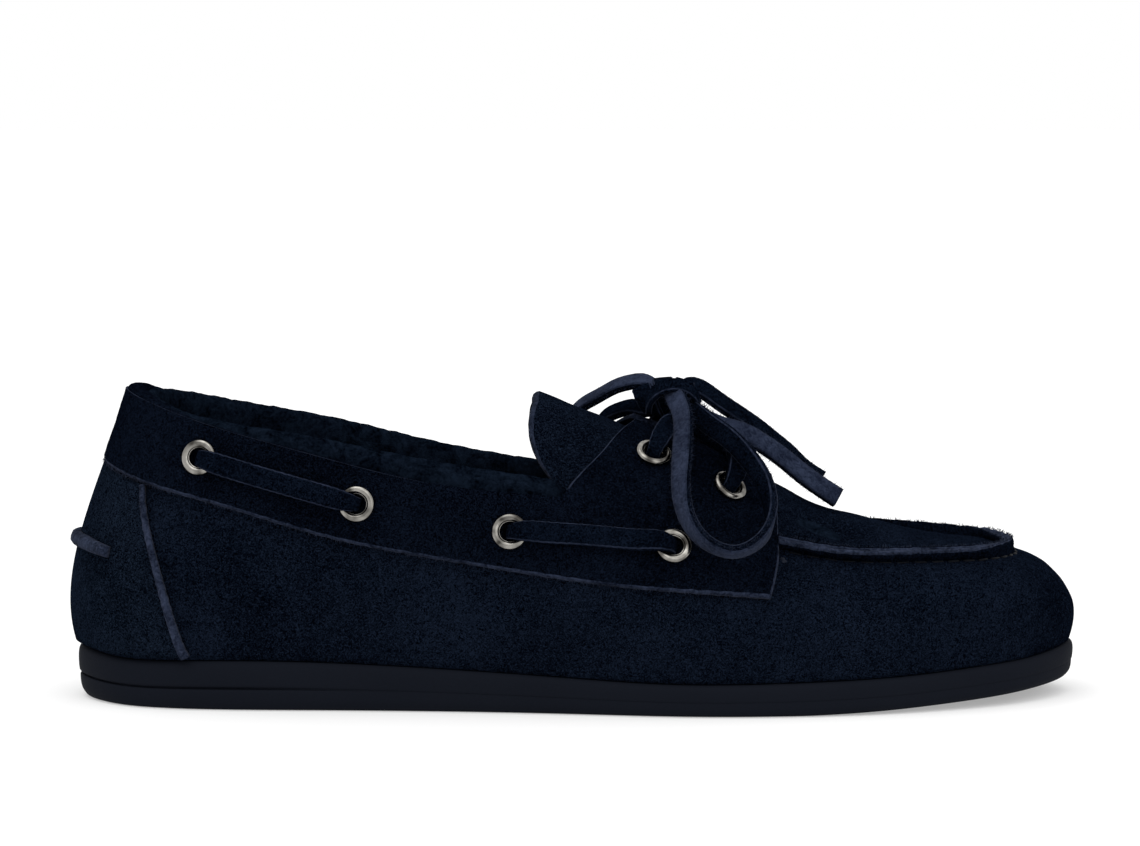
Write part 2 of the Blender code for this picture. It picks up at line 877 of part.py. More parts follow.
def counter_edge_x(height):
    heights = [line[0] * HEEL_HEIGHT for line in COUNTER_EDGE]
    edges = [line[1] * LENGTH for line in COUNTER_EDGE]
    return float(np.interp(height, heights, edges))


def counter_share(place, share):
    top = wall_share(place, band_spline(row_of(place))[0] - COUNTER_TOP_GAP)
    return COUNTER_FOOT + share * (top - COUNTER_FOOT)


def counter_row(share):
    """The section row where the counter's front edge runs at a level."""
    low = 0.5
    high = 4.0
    for step in range(30):
        middle = (low + high) / 2
        point = wall_point(middle, counter_share(middle, share))
        if point[0] < counter_edge_x(point[2]):
            low = middle
        else:
            high = middle
    return (low + high) / 2


def counter_lifts():
    return COUNTER_GAP, COUNTER_GAP + COUNTER_THICKNESS


def make_counter():
    net = []
    for i in range(2 * COUNTER_COLUMNS + 1):
        column = []
        for j in range(COUNTER_LEVELS + 1):
            share = j / COUNTER_LEVELS
            row = counter_row(share) * abs(COUNTER_COLUMNS - i) / COUNTER_COLUMNS
            place = side_place(row, -1 if i > COUNTER_COLUMNS else 1)
            column.append((place, counter_share(place, share)))
        net.append(column)
    low, high = counter_lifts()
    return net_slab("heel_counter", net, high, low)


def make_tab():
    low, high = counter_lifts()
    net = []
    for i in range(2 * TAB_COLUMNS + 1):
        row = TAB_ROWS * abs(TAB_COLUMNS - i) / TAB_COLUMNS
        place = side_place(row, -1 if i > TAB_COLUMNS else 1)
        bottom = float(np.interp(row, [line[0] for line in TAB], [line[1] for line in TAB])) * HEEL_HEIGHT
        top = float(np.interp(row, [line[0] for line in TAB], [line[2] for line in TAB])) * HEEL_HEIGHT
        column = [(place, wall_share(place, bottom + (top - bottom) * step / 2)) for step in range(3)]
        net.append(column)
    return net_slab("heel_tab", net, high + CLEARANCE + TAB_THICKNESS, high + CLEARANCE)


# Tongue and padded collar

def make_tongue():
    rows = [4.0, 4.5, 5.0, 5.5] + rows_between(6.0, TONGUE_FRONT)
    outer = []
    inner = []
    top_drop = UPPER_WALL + TONGUE_GAP
    for row in rows:
        for i in range(2 * TONGUE_ACROSS + 1):
            side = -1 if i <= TONGUE_ACROSS else 1
            w = TONGUE_SIDE + (1 - TONGUE_SIDE) * (1 - abs(TONGUE_ACROSS - i) / TONGUE_ACROSS)
            if i == TONGUE_ACROSS:
                normal = lid_normal(row, -1, 0.99) + lid_normal(row, 1, 0.99)
            else:
                normal = lid_normal(row, side, w)
            normal = normal / np.linalg.norm(normal)
            point = lid_point(row, side, w)
            outer.append(point - normal * top_drop)
            inner.append(point - normal * (top_drop + TONGUE_THICKNESS))
    return slab("tongue", outer, inner, grid_cells(len(rows), 2 * TONGUE_ACROSS + 1))


def make_roll():
    rows = rows_between(0.0, ROLL_END)
    places = [side_place(row, 1) for row in reversed(rows[1:])] + [side_place(row, -1) for row in rows]
    rings = []
    for place in places:
        row = row_of(place)
        rim = rim_loop(place)
        up = wall_point(place, 1.0) - wall_point(place, 0.97)
        up = up / np.linalg.norm(up)
        normal = wall_normal(place, 1.0)
        rise = band_spline(row)[1]
        centre = rim + up * (rise - ROLL_HALF_HEIGHT)
        centre = centre - normal * (UPPER_WALL + ROLL_WALL_GAP + ROLL_HALF_THICKNESS)
        ring = []
        for corner in range(ROLL_CORNERS):
            angle = 2 * math.pi * corner / ROLL_CORNERS
            across = normal * ROLL_HALF_THICKNESS * math.cos(angle)
            ring.append(centre + across + up * ROLL_HALF_HEIGHT * math.sin(angle))
        rings.append(ring)
    points = [point for ring in rings for point in ring]
    faces = []
    for i in range(len(rings) - 1):
        for j in range(ROLL_CORNERS):
            a = i * ROLL_CORNERS + j
            b = i * ROLL_CORNERS + (j + 1) % ROLL_CORNERS
            faces.append((a, b, b + ROLL_CORNERS, a + ROLL_CORNERS))
    faces.append(tuple(range(ROLL_CORNERS - 1, -1, -1)))
    last = (len(rings) - 1) * ROLL_CORNERS
    faces.append(tuple(range(last, last + ROLL_CORNERS)))
    return mesh_from("collar_roll", points, faces)


# Eyelets

def eyelet_profile():
    """The ring's section: barrel, flange and rolled lip, from the band's outer face."""
    low = EYELET_SEAT
    return (
        (EYELET_BORE_RADIUS, -EYELET_DEPTH),
        (EYELET_BARREL_RADIUS, -EYELET_DEPTH),
        (EYELET_BARREL_RADIUS, low),
        (EYELET_FLANGE_RADIUS, low),
        (EYELET_FLANGE_RADIUS * 0.94, low + EYELET_RISE * 0.7),
        (EYELET_FLANGE_RADIUS * 0.74, low + EYELET_RISE),
        (EYELET_BORE_RADIUS, low + EYELET_RISE * 0.4),
    )


def find_skin(side, row, v, target, axes, lift):
    """The section row and parameter where a lifted point has two wanted coordinates."""
    small = 0.01
    place = np.array((row, v))

    def position(at):
        return lifted(side_place(at[0], side), at[1], lift)[list(axes)]

    for step in range(12):
        here = position(place)
        by_row = (position(place + (small, 0.0)) - here) / small
        by_v = (position(place + (0.0, small)) - here) / small
        move = np.linalg.solve(np.column_stack((by_row, by_v)), np.array(target) - here)
        place = place + np.clip(move, -0.4, 0.4)
    return float(place[0]), float(place[1])


def eyelet_places():
    """Name, side, row and parameter of every eyelet."""
    lift = band_lifts()[1]
    found = []
    for side, word in ((-1, "outer"), (1, "inner")):
        for number, x, z in SIDE_EYELETS:
            start_row = 1.5 + 9.5 * x
            row, v = find_skin(side, start_row, 0.75, (x * LENGTH, z * HEEL_HEIGHT), (0, 2), lift)
            found.append(("eyelet_" + word + "_" + number, side, row, v))
        for number, x, z in THROAT_EYELETS:
            row, v = find_skin(side, 7.0, 1.45, (x * LENGTH, z * HEEL_HEIGHT), (0, 2), lift)
            found.append(("eyelet_" + word + "_" + number, side, row, v))
    return found


def facing(normal):
    """Rotation that turns +Z to a direction."""
    return Vector(normal).to_track_quat("Z", "Y")


def make_ring(name, profile, segments):
    """A profile of radius and height spun round Z."""
    work = bmesh.new()
    corners = [work.verts.new((radius, 0.0, height)) for radius, height in profile]
    edges = [work.edges.new((corners[i], corners[(i + 1) % len(corners)])) for i in range(len(corners))]
    bmesh.ops.spin(
        work, geom=corners + edges, cent=(0, 0, 0), axis=(0, 0, 1),
        angle=2 * math.pi, steps=segments, use_merge=True,
    )
    bmesh.ops.remove_doubles(work, verts=work.verts, dist=0.00001)
    bmesh.ops.recalc_face_normals(work, faces=work.faces)
    mesh = bpy.data.meshes.new(name)
    work.to_mesh(mesh)
    work.free()
    return mesh


def make_cutter(name):
    work = bmesh.new()
    bmesh.ops.create_cone(
        work, cap_ends=True, segments=EYELET_SEGMENTS,
        radius1=EYELET_BARREL_RADIUS + CLEARANCE, radius2=EYELET_BARREL_RADIUS + CLEARANCE,
        depth=2 * CUTTER_REACH,
    )
    mesh = bpy.data.meshes.new(name)
    work.to_mesh(mesh)
    work.free()
    return mesh


def place_on_skin(thing, side, row, v):
    place = side_place(row, side)
    normal = normal_at(place, v)
    thing.location = lifted(place, v, band_lifts()[1])
    thing.rotation_mode = "QUATERNION"
    thing.rotation_quaternion = facing(normal)


def add_holes(pieces, cutters):
    for piece in pieces:
        cut = piece.modifiers.new("eyelet_holes", "BOOLEAN")
        cut.operation = "DIFFERENCE"
        cut.solver = "EXACT"
        cut.operand_type = "COLLECTION"
        cut.collection = cutters


# Lace

def ribbon(name, points, across, widths):
    """A flat lace with rounded edges along points, its width held near one direction."""
    rings = []
    count = len(points)
    half = LACE_THICKNESS / 2
    for i in range(count):
        tangent = points[min(i + 1, count - 1)] - points[max(i - 1, 0)]
        tangent = tangent / np.linalg.norm(tangent)
        wide = across[i] - tangent * np.dot(across[i], tangent)
        wide = wide / np.linalg.norm(wide)
        thick = np.cross(tangent, wide)
        edge = widths[i] / 2
        flat = edge - half * 0.7
        corners = (
            (edge, 0.0), (flat, half), (-flat, half), (-edge, 0.0), (-flat, -half), (flat, -half),
        )
        rings.append([points[i] + wide * a + thick * b for a, b in corners])
    corner_count = len(rings[0])
    faces = []
    for i in range(count - 1):
        for j in range(corner_count):
            a = i * corner_count + j
            b = i * corner_count + (j + 1) % corner_count
            faces.append((a, b, b + corner_count, a + corner_count))
    faces.append(tuple(range(corner_count - 1, -1, -1)))
    last = (count - 1) * corner_count
    faces.append(tuple(range(last, last + corner_count)))
    return mesh_from(name, [point for ring in rings for point in ring], faces)


def skin_path(start, end, steps):
    """Points along the skin from one (side, row, v) to another, for measuring."""
    path = []
    for i in range(steps + 1):
        share = i / steps
        row = start[1] + (end[1] - start[1]) * share
        v = start[2] + (end[2] - start[2]) * share
        path.append((row, v))
    return path


def make_side_bar(name, start, end):
    """A lace bar on the band's outside that dives into an eyelet at either end."""
    side = start[0]
    top = band_lifts()[1]
    path = skin_path(start, end, 40)
    points = [lifted(side_place(row, side), v, top) for row, v in path]
    along = [0.0]
    for first, second in zip(points[:-1], points[1:]):
        along.append(along[-1] + float(np.linalg.norm(second - first)))
    total = along[-1]
    stations = [(distance, lift, width) for distance, lift, width in BAR_START]
    inner_start = BAR_START[-1][0]
    for i in range(BAR_MIDDLES):
        share = (i + 1) / (BAR_MIDDLES + 1)
        stations.append((inner_start + (total - 2 * inner_start) * share, BAR_LIFT, LACE_WIDTH))
    stations += [(total - distance, lift, width) for distance, lift, width in reversed(BAR_START)]
    route = []
    across = []
    widths = []
    for distance, lift, width in stations:
        share = float(np.interp(distance, along, np.linspace(0.0, 1.0, len(along))))
        row = start[1] + (end[1] - start[1]) * share
        v = start[2] + (end[2] - start[2]) * share
        place = side_place(row, side)
        normal = normal_at(place, v)
        normal = normal / np.linalg.norm(normal)
        route.append(lifted(place, v, top) + normal * lift)
        ahead = points[-1] - points[0]
        across.append(np.cross(normal, ahead / np.linalg.norm(ahead)))
        widths.append(width)
    return ribbon(name, route, across, widths)


def make_throat_bar(name, outer, inner, middles):
    """A lace bar from the outer eyelet to the inner one over the points given between them."""
    top = band_lifts()[1]
    route = []
    across = []
    widths = []
    for start, side in ((outer, -1), (inner, 1)):
        place = side_place(start[1], side)
        normal = normal_at(place, start[2])
        base = lifted(place, start[2], top)
        goal = middles[0] if side < 0 else middles[-1]
        ahead = goal - base
        ahead = ahead - normal * np.dot(ahead, normal)
        ahead = ahead / np.linalg.norm(ahead)
        half = []
        for distance, lift, width in THROAT_BAR:
            half.append((base + ahead * distance + normal * lift, np.cross(normal, ahead) * -side, width))
        if side > 0:
            half.reverse()
        for point, wide, width in half:
            route.append(point)
            across.append(wide)
            widths.append(width)
        if side < 0:
            for point in middles:
                route.append(point)
                across.append(np.cross(UP, (0.0, 1.0, 0.0)) * 1.0)
                widths.append(LACE_WIDTH)
    return ribbon(name, route, across, widths)


def over_throat(row, rises):
    """Points over the throat at a section row, each a share across and a rise above the band."""
    points = []
    for share, rise in rises:
        side = -1 if share < 0 else 1
        v = 2 - abs(share) * (1 - throat_share(row, side))
        top = band_lifts()[1]
        points.append(lifted(side_place(row, side), v, top) + UP * rise)
    return points


# Free lace

def smooth_route(points, step):
    """Even points on a smooth curve through chosen ones."""
    values = np.array(points)
    knots = [0.0]
    for first, second in zip(values[:-1], values[1:]):
        knots.append(knots[-1] + float(np.linalg.norm(second - first)))
    curve = Spline(knots, values)
    count = max(int(round(knots[-1] / step)), 4)
    return [curve(knots[-1] * i / count) for i in range(count + 1)]


def make_free_lace(name, points, across):
    route = smooth_route(points, CORD_STEP)
    return ribbon(name, route, [np.array(across)] * len(route), [LACE_WIDTH] * len(route))


def make_knot():
    route = []
    across = []
    steps = int(16 * KNOT_TURNS)
    for i in range(steps + 1):
        turn = KNOT_TURNS * i / steps
        angle = 2 * math.pi * turn - math.pi / 2
        route.append(np.array(KNOT_CENTRE) + np.array((
            KNOT_RADIUS * math.cos(angle),
            KNOT_PITCH * (turn - KNOT_TURNS / 2),
            KNOT_RADIUS * math.sin(angle),
        )))
        across.append(np.array((0.0, 1.0, 0.0)))
    return ribbon("lace_knot", route, across, [KNOT_WIDTH] * len(route))


# The whole shoe

def build():
    clear_scene()
    collection = make_collection(COLLECTION_NAME)
    cutters = make_collection(CUTTER_COLLECTION_NAME)
    make_root(collection)
    suede = make_material("navy_suede", (0.0045, 0.0062, 0.0130), 0.95, 0.0)
    lining = make_material("navy_leather_lining", (0.0035, 0.0050, 0.0100), 0.70, 0.0)
    rubber = make_material("navy_rubber", (0.0080, 0.0100, 0.0150), 0.55, 0.0)
    board = make_material("insole_leather", (0.0060, 0.0080, 0.0140), 0.75, 0.0)
    nickel = make_material("nickel", (0.62, 0.60, 0.57), 0.22, 1.0)
    leather = make_material("navy_lace_leather", (0.0110, 0.0150, 0.0290), 0.90, 0.0)
    add_object("sole", make_sole(), rubber, collection)
    add_object("insole", make_insole(), board, collection)
    upper = add_object("upper", make_upper(), suede, collection)
    band = add_object("collar_band", make_band(), suede, collection)
    add_object("heel_counter", make_counter(), suede, collection)
    add_object("heel_tab", make_tab(), suede, collection)
    add_object("tongue", make_tongue(), suede, collection)
    add_object("collar_roll", make_roll(), lining, collection)
    spots = {}
    for name, side, row, v in eyelet_places():
        eyelet = add_object(name, make_ring(name, eyelet_profile(), EYELET_SEGMENTS), nickel, collection)
        place_on_skin(eyelet, side, row, v)
        cutter_name = "cut_" + name
        cutter = bpy.data.objects.new(cutter_name, make_cutter(cutter_name))
        cutters.objects.link(cutter)
        cutter.parent = bpy.data.objects[ROOT_NAME]
        cutter.hide_render = True
        cutter.display_type = "WIRE"
        place_on_skin(cutter, side, row, v)
        spots[name] = (side, row, v)
    add_holes((upper, band), cutters)
    for word in ("outer", "inner"):
        for first, second in (("1", "2"), ("3", "4")):
            name = "lace_bar_" + word + "_" + first
            start = spots["eyelet_" + word + "_" + first]
            end = spots["eyelet_" + word + "_" + second]
            add_object(name, make_side_bar(name, start, end), leather, collection)
    front = over_throat(
        (spots["eyelet_outer_5"][1] + spots["eyelet_inner_5"][1]) / 2,
        ((-1.0, 0.0028), (-0.01, 0.0010), (1.0, 0.0028)),
    )
    add_object(
        "lace_crossing_front",
        make_throat_bar("lace_crossing_front", spots["eyelet_outer_5"], spots["eyelet_inner_5"], front),
        leather, collection,
    )
    rear = over_throat(
        (spots["eyelet_outer_6"][1] + spots["eyelet_inner_6"][1]) / 2,
        ((-1.0, 0.0026), (-0.01, 0.0010), (1.0, 0.0026)),
    )
    add_object(
        "lace_crossing_rear",
        make_throat_bar("lace_crossing_rear", spots["eyelet_outer_6"], spots["eyelet_inner_6"], rear),
        leather, collection,
    )
    add_object("lace_knot", make_knot(), leather, collection)
    for name, points, across in (
        ("lace_loop_outer", OUTER_LOOP, (0.45, -0.75, 0.40)),
        ("lace_loop_inner", INNER_LOOP, (0.15, 0.85, 0.45)),
        ("lace_end_inner", INNER_END, (0.20, 0.80, 0.45)),
        ("lace_end_outer", OUTER_END, (0.45, -0.45, 0.75)),
    ):
        add_object(name, make_free_lace(name, points, across), leather, collection)


build()
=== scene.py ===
# %% [markdown]
# # A navy suede boat shoe, dressed over its CAD frame
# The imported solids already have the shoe's true size and outline. This lesson gives them
# the finish that a pair of hands gives the real shoe: nap, raw-cut edges, thread, a hand-sewn
# apron, nickel eyelets and a flat lace. We begin by loading the frame and keeping its box.

# %% Load the frame
import math

import bmesh
import bpy
import numpy as np
from mathutils import Matrix


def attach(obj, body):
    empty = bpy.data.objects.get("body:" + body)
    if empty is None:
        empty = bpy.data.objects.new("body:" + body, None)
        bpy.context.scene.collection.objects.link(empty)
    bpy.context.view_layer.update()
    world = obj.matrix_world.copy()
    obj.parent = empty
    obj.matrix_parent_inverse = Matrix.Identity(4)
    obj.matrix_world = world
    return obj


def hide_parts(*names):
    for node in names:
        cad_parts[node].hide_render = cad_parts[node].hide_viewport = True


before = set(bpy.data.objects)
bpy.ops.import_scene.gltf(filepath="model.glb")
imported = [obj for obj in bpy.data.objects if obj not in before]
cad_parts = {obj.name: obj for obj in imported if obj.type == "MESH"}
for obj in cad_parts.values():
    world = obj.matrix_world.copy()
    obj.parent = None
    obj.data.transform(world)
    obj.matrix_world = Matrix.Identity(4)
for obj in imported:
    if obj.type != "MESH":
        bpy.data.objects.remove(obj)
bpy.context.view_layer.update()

bpy.ops.object.select_all(action="DESELECT")
print("solids in the frame:", len(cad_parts))

# %% [markdown]
# ## The camera
# The photograph was taken from far away with a long lens, a little above the shoe and square
# to its outer side. A camera object tilted 4.5 degrees down from level gives the same view.

# %% Camera
SHOE_MIDDLE = (-0.00105, 0.0, 0.0708)
CAMERA_DISTANCE = 1.1
CAMERA_DIP = math.radians(4.5)
CAMERA_LENS = 133.9
SENSOR_WIDTH = 36.0
bpy.ops.object.camera_add(
    location=(
        SHOE_MIDDLE[0],
        SHOE_MIDDLE[1] - CAMERA_DISTANCE * math.cos(CAMERA_DIP),
        SHOE_MIDDLE[2] + CAMERA_DISTANCE * math.sin(CAMERA_DIP),
    ),
    rotation=(math.radians(90.0) - CAMERA_DIP, 0.0, 0.0),
)
camera = bpy.context.object
camera.name = "photo_camera"
camera.data.lens = CAMERA_LENS
camera.data.sensor_width = SENSOR_WIDTH
bpy.context.scene.camera = camera
print("camera stands", round(CAMERA_DISTANCE, 2), "m away")

# %% [markdown]
# ## Curves through a few points
# A shoe has no straight lines, so most pieces here follow smooth curves. A cubic spline runs
# through a short list of rows and can carry any numbers: positions, widths or angles. This one
# accepts whole arrays of places at once, which keeps thousands of points quick.

# %% A smooth curve
def spline_slopes(knots, values, closed):
    """Slopes of a cubic spline through values at knots."""
    count = len(knots)
    matrix = np.zeros((count, count))
    right = np.zeros(values.shape)
    steps = np.diff(knots)
    for i in range(count):
        before = steps[i - 1]
        after = steps[i % (count - 1)]
        if closed and i == count - 1:
            matrix[i, 0] = 1.0
            matrix[i, i] = -1.0
        elif i == 0 and not closed:
            matrix[i, :2] = 2.0, 1.0
            right[i] = 3.0 * (values[1] - values[0]) / after
        elif i == count - 1:
            matrix[i, -2:] = 1.0, 2.0
            right[i] = 3.0 * (values[-1] - values[-2]) / before
        else:
            earlier = count - 2 if i == 0 else i - 1
            matrix[i, earlier] += 1.0 / before
            matrix[i, i] += 2.0 / before + 2.0 / after
            matrix[i, i + 1] += 1.0 / after
            rise_before = (values[i] - values[earlier]) / before**2
            rise_after = (values[i + 1] - values[i]) / after**2
            right[i] = 3.0 * (rise_before + rise_after)
    return np.linalg.solve(matrix, right)


class Curve:
    """A smooth curve through rows of values, read at any array of places."""

    def __init__(self, knots, values, closed=False):
        self.knots = np.array(knots, dtype=float)
        self.values = np.array(values, dtype=float)
        self.closed = closed
        self.slopes = spline_slopes(self.knots, self.values, closed)

    def __call__(self, place):
        low = self.knots[0]
        high = self.knots[-1]
        place = np.asarray(place, dtype=float)
        if self.closed:
            place = low + (place - low) % (high - low)
        place = np.clip(place, low, high)
        i = np.clip(np.searchsorted(self.knots, place, side="right") - 1, 0, len(self.knots) - 2)
        step = (self.knots[i + 1] - self.knots[i])[..., None]
        t = (place - self.knots[i])[..., None] / step
        rise = t * t * (3.0 - 2.0 * t)
        bend = step * (t * (1.0 - t) ** 2 * self.slopes[i] + t * t * (t - 1.0) * self.slopes[i + 1])
        return self.values[i] * (1.0 - rise) + self.values[i + 1] * rise + bend


def unit(vectors):
    """The same directions, one long."""
    return vectors / np.linalg.norm(vectors, axis=-1, keepdims=True)


def reach_along(points):
    """How far each point lies along the line through all of them."""
    return np.concatenate([[0.0], np.cumsum(np.linalg.norm(np.diff(points, axis=0), axis=1))])


def even_places(curve, low, high, step):
    """Places along a curve that lie an even distance apart."""
    dense = np.linspace(low, high, 2000)
    reach = reach_along(curve(dense))
    count = max(int(round(reach[-1] / step)), 4)
    return np.interp(np.linspace(0.0, reach[-1], count + 1), reach, dense)

# %% [markdown]
# ## Materials as arithmetic
# A procedural material is a small sum over noise and other patterns. Writing it as Python
# arithmetic is easier to read than a pile of links, so one class wraps a socket and adds the
# Math nodes, and one method adds any other node.

# %% Sockets that add and multiply
class Field:
    """One output of a node, which can be used in sums."""

    def __init__(self, finish, socket):
        self.finish = finish
        self.socket = socket

    def math(self, operation, *values):
        return self.finish.add("ShaderNodeMath", {"operation": operation}, dict(enumerate(values)))

    def __add__(self, other):
        return self.math("ADD", self, other)

    def __sub__(self, other):
        return self.math("SUBTRACT", self, other)

    def __mul__(self, other):
        return self.math("MULTIPLY", self, other)

    def size(self):
        return self.math("ABSOLUTE", self)

    def clamped(self):
        return self.finish.add("ShaderNodeClamp", {}, {"Value": self})


class Finish:
    """A material: its Principled shader and the nodes that feed it."""

    def __init__(self, name, **constants):
        self.material = bpy.data.materials.new(name)
        self.material.use_nodes = True
        self.tree = self.material.node_tree
        self.shader = self.tree.nodes["Principled BSDF"]
        for socket, value in constants.items():
            self.shader.inputs[socket.replace("_", " ")].default_value = value

    def add(self, kind, settings, values, output=0):
        node = self.tree.nodes.new(kind)
        for key, value in settings.items():
            if key == "stops":
                for element, (place, shade) in zip(node.color_ramp.elements, value):
                    element.position = place
                    element.color = (shade, shade, shade, 1.0)
            else:
                setattr(node, key, value)
        for socket, value in values.items():
            self.feed(node.inputs[socket], value)
        return Field(self, node.outputs[output])

    def feed(self, socket, value):
        if isinstance(value, Field):
            self.tree.links.new(value.socket, socket)
        else:
            socket.default_value = value

    def shade(self, socket, value):
        self.feed(self.shader.inputs[socket], value)

    def noise(self, scale, detail=3.0, roughness=0.5, distortion=0.0):
        place = self.add("ShaderNodeTexCoord", {}, {}, output="Object")
        return self.add("ShaderNodeTexNoise", {}, {
            "Vector": place, "Scale": scale, "Detail": detail,
            "Roughness": roughness, "Distortion": distortion,
        })

    def mix(self, factor, dark, light):
        return self.add("ShaderNodeMix", {"data_type": "RGBA"}, {
            0: factor, 6: (*dark, 1.0), 7: (*light, 1.0),
        }, output=2)

    def bump(self, height, distance):
        return self.add("ShaderNodeBump", {}, {"Height": height, "Distance": distance, "Strength": 1.0})

# %% [markdown]
# ## Suede
# Suede is the fleshy side of the hide, sanded to a nap. Up close it is a mat of short curled
# fibres, and from a step away it is cloudy, where fingers have pushed the nap about. Fine warped
# noise gives the fibres and coarse noise the clouds, and there is no gloss at all. The cut edges
# show paler hide, so they get a finish of their own.

# %% Suede finishes
CURL_SCALE = 1150.0
FLECK_SCALE = 2300.0


def suede(name, dark, light, nap_depth=0.0008, cloud_scale=42.0):
    """Napped hide: fine curls and flecks over wide clouds."""
    finish = Finish(name, Roughness=0.95, Specular_IOR_Level=0.0)
    cloud = finish.noise(cloud_scale, 3.0, 0.55) - 0.5
    curl = (finish.noise(CURL_SCALE, 2.0, 0.55, 2.2) - 0.5).size()
    fleck = finish.noise(FLECK_SCALE, 1.5, 0.6, 0.8) - 0.5
    tone = (cloud * 1.7 - curl * 12.0 + fleck * 3.6 + 1.15).clamped()
    finish.shade("Base Color", finish.mix(tone, dark, light))
    finish.shade("Normal", finish.bump(fleck * 0.5 - curl, nap_depth))
    return finish.material


def raw_hide(name, dark, light):
    """The paler inside of the hide, which a cut edge shows."""
    finish = Finish(name, Roughness=0.95, Specular_IOR_Level=0.0, Sheen_Weight=0.02)
    grain = finish.noise(900.0, 3.0, 0.65, 0.8)
    patch = finish.noise(160.0, 2.0)
    finish.shade("Base Color", finish.mix((grain * 2.4 + patch * 1.6 - 1.55).clamped(), dark, light))
    finish.shade("Normal", finish.bump(grain, 0.0003))
    return finish.material


vamp_suede = suede("suede_vamp", (0.0004, 0.0008, 0.0023), (0.0074, 0.0121, 0.0238))
band_suede = suede("suede_band", (0.0003, 0.0005, 0.0014), (0.0043, 0.0071, 0.0148))
counter_suede = suede("suede_counter", (0.0004, 0.0009, 0.0024), (0.0088, 0.0145, 0.0268))
tongue_suede = suede("suede_tongue", (0.0004, 0.0008, 0.0024), (0.0080, 0.0130, 0.0250))
raw_edge = raw_hide("raw_edge", (0.0030, 0.0048, 0.0110), (0.0235, 0.0310, 0.0560))
seam_edge = raw_hide("seam_edge", (0.0035, 0.0055, 0.0120), (0.0270, 0.0350, 0.0620))
print("suedes made:", len([m for m in bpy.data.materials if m.name.startswith("suede")]))

# %% [markdown]
# ## Rubber, lining, thread, nickel and lace
# The sole is matte moulded rubber, paler than the suede because it scatters more light. The
# lining is thin glove leather that creases, so its bump is coarse. The eyelets are nickel whose
# colour is painted dark, and near black in patches, as reflections of dark surroundings. The
# lace is a strip of hide, dark on one face and pale on the other.

# %% The other finishes
def moulded_rubber(name, dark, light, tread=False):
    """Matte rubber, with wavy sipes when it is the tread."""
    finish = Finish(name, Roughness=0.70, Specular_IOR_Level=0.02)
    cloud = finish.noise(30.0, 2.0)
    speckle = finish.noise(1800.0, 2.0)
    finish.shade("Base Color", finish.mix((cloud * 0.9 + speckle * 0.5 - 0.2).clamped(), dark, light))
    if tread:
        place = finish.add("ShaderNodeTexCoord", {}, {}, output="Object")
        wave = finish.add("ShaderNodeTexWave", {"bands_direction": "X"}, {
            "Vector": place, "Scale": 50.0, "Distortion": 2.2, "Detail": 0.0, "Detail Scale": 1.4,
        })
        sipe = finish.add("ShaderNodeValToRGB", {"stops": ((0.06, 0.0), (0.16, 1.0))}, {"Fac": wave})
        finish.shade("Normal", finish.bump(sipe, 0.0012))
    else:
        finish.shade("Normal", finish.bump(speckle, 0.00006))
    return finish.material


def creased_leather(name, dark, light, crease_scale, crease_depth):
    """Smooth thin leather with soft creases."""
    finish = Finish(name, Roughness=0.65, Specular_IOR_Level=0.0)
    crease = finish.noise(crease_scale, 4.0, 0.62, 1.2)
    grain = finish.noise(1400.0, 2.0)
    finish.shade("Base Color", finish.mix((crease * 1.7 + grain * 0.9 - 0.95).clamped(), dark, light))
    finish.shade("Normal", finish.bump(crease + grain * 0.12, crease_depth))
    return finish.material


def polished_metal(name):
    """Bright metal of uneven roughness, whose colour falls near black in patches as painted dark
    reflections.
    """
    finish = Finish(name, Metallic=1.0, Roughness=0.16)
    smear_and_painted_reflection = finish.noise(330.0, 1.5)
    # Painted reflection: the colour falls near black in these patches to stand in for dark surroundings seen
    # in the metal.
    patches = (smear_and_painted_reflection * 3.4 - 1.2).clamped()
    finish.shade("Base Color", finish.mix(patches, (0.050, 0.047, 0.042), (0.300, 0.288, 0.265)))
    finish.shade("Roughness", smear_and_painted_reflection * 0.14 + 0.10)
    return finish.material


def twisted_thread(name, dark, light):
    """Thread, with a faint strand pattern."""
    finish = Finish(name, Roughness=0.75, Specular_IOR_Level=0.10)
    strand = finish.noise(1500.0, 2.0)
    finish.shade("Base Color", finish.mix(strand, dark, light))
    finish.shade("Normal", finish.bump(strand, 0.0001))
    return finish.material


sole_rubber = moulded_rubber("rubber_side", (0.0050, 0.0062, 0.0098), (0.0070, 0.0084, 0.0128))
tread_rubber = moulded_rubber("rubber_tread", (0.0050, 0.0062, 0.0096), (0.0068, 0.0082, 0.0125), tread=True)
lining_leather = creased_leather("lining", (0.0003, 0.0007, 0.0018), (0.0070, 0.0122, 0.0228), 190.0, 0.0008)
sock_leather = creased_leather("sock", (0.0034, 0.0048, 0.0085), (0.0066, 0.0088, 0.0150), 60.0, 0.0001)
nickel = polished_metal("polished_nickel")
thread = twisted_thread("navy_thread", (0.0040, 0.0056, 0.0110), (0.0150, 0.0190, 0.0310))
dark_thread = twisted_thread("dark_thread", (0.0004, 0.0006, 0.0014), (0.0024, 0.0034, 0.0066))
lace_dark = suede("lace_face", (0.0002, 0.0005, 0.0015), (0.0042, 0.0072, 0.0150), 0.0004, 120.0)
lace_pale = raw_hide("lace_flesh", (0.0070, 0.0100, 0.0210), (0.0250, 0.0330, 0.0600))
# The corners are pale cut hide with a painted highlight on top, and the sides' dark colour is painted shade.
lace_corner_and_highlight = raw_hide("lace_corner_and_highlight", (0.0040, 0.0060, 0.0125), (0.0190, 0.0250, 0.0460))
lace_shaded_side = suede("lace_shaded_side", (0.0004, 0.0008, 0.0024), (0.0052, 0.0086, 0.0175), 0.0004, 120.0)
HIDE_LACE = (lace_pale, lace_corner_and_highlight, lace_dark, lace_shaded_side)
DARK_LACE = (lace_dark, lace_corner_and_highlight, lace_dark, lace_shaded_side)
print("finishes:", len(bpy.data.materials))
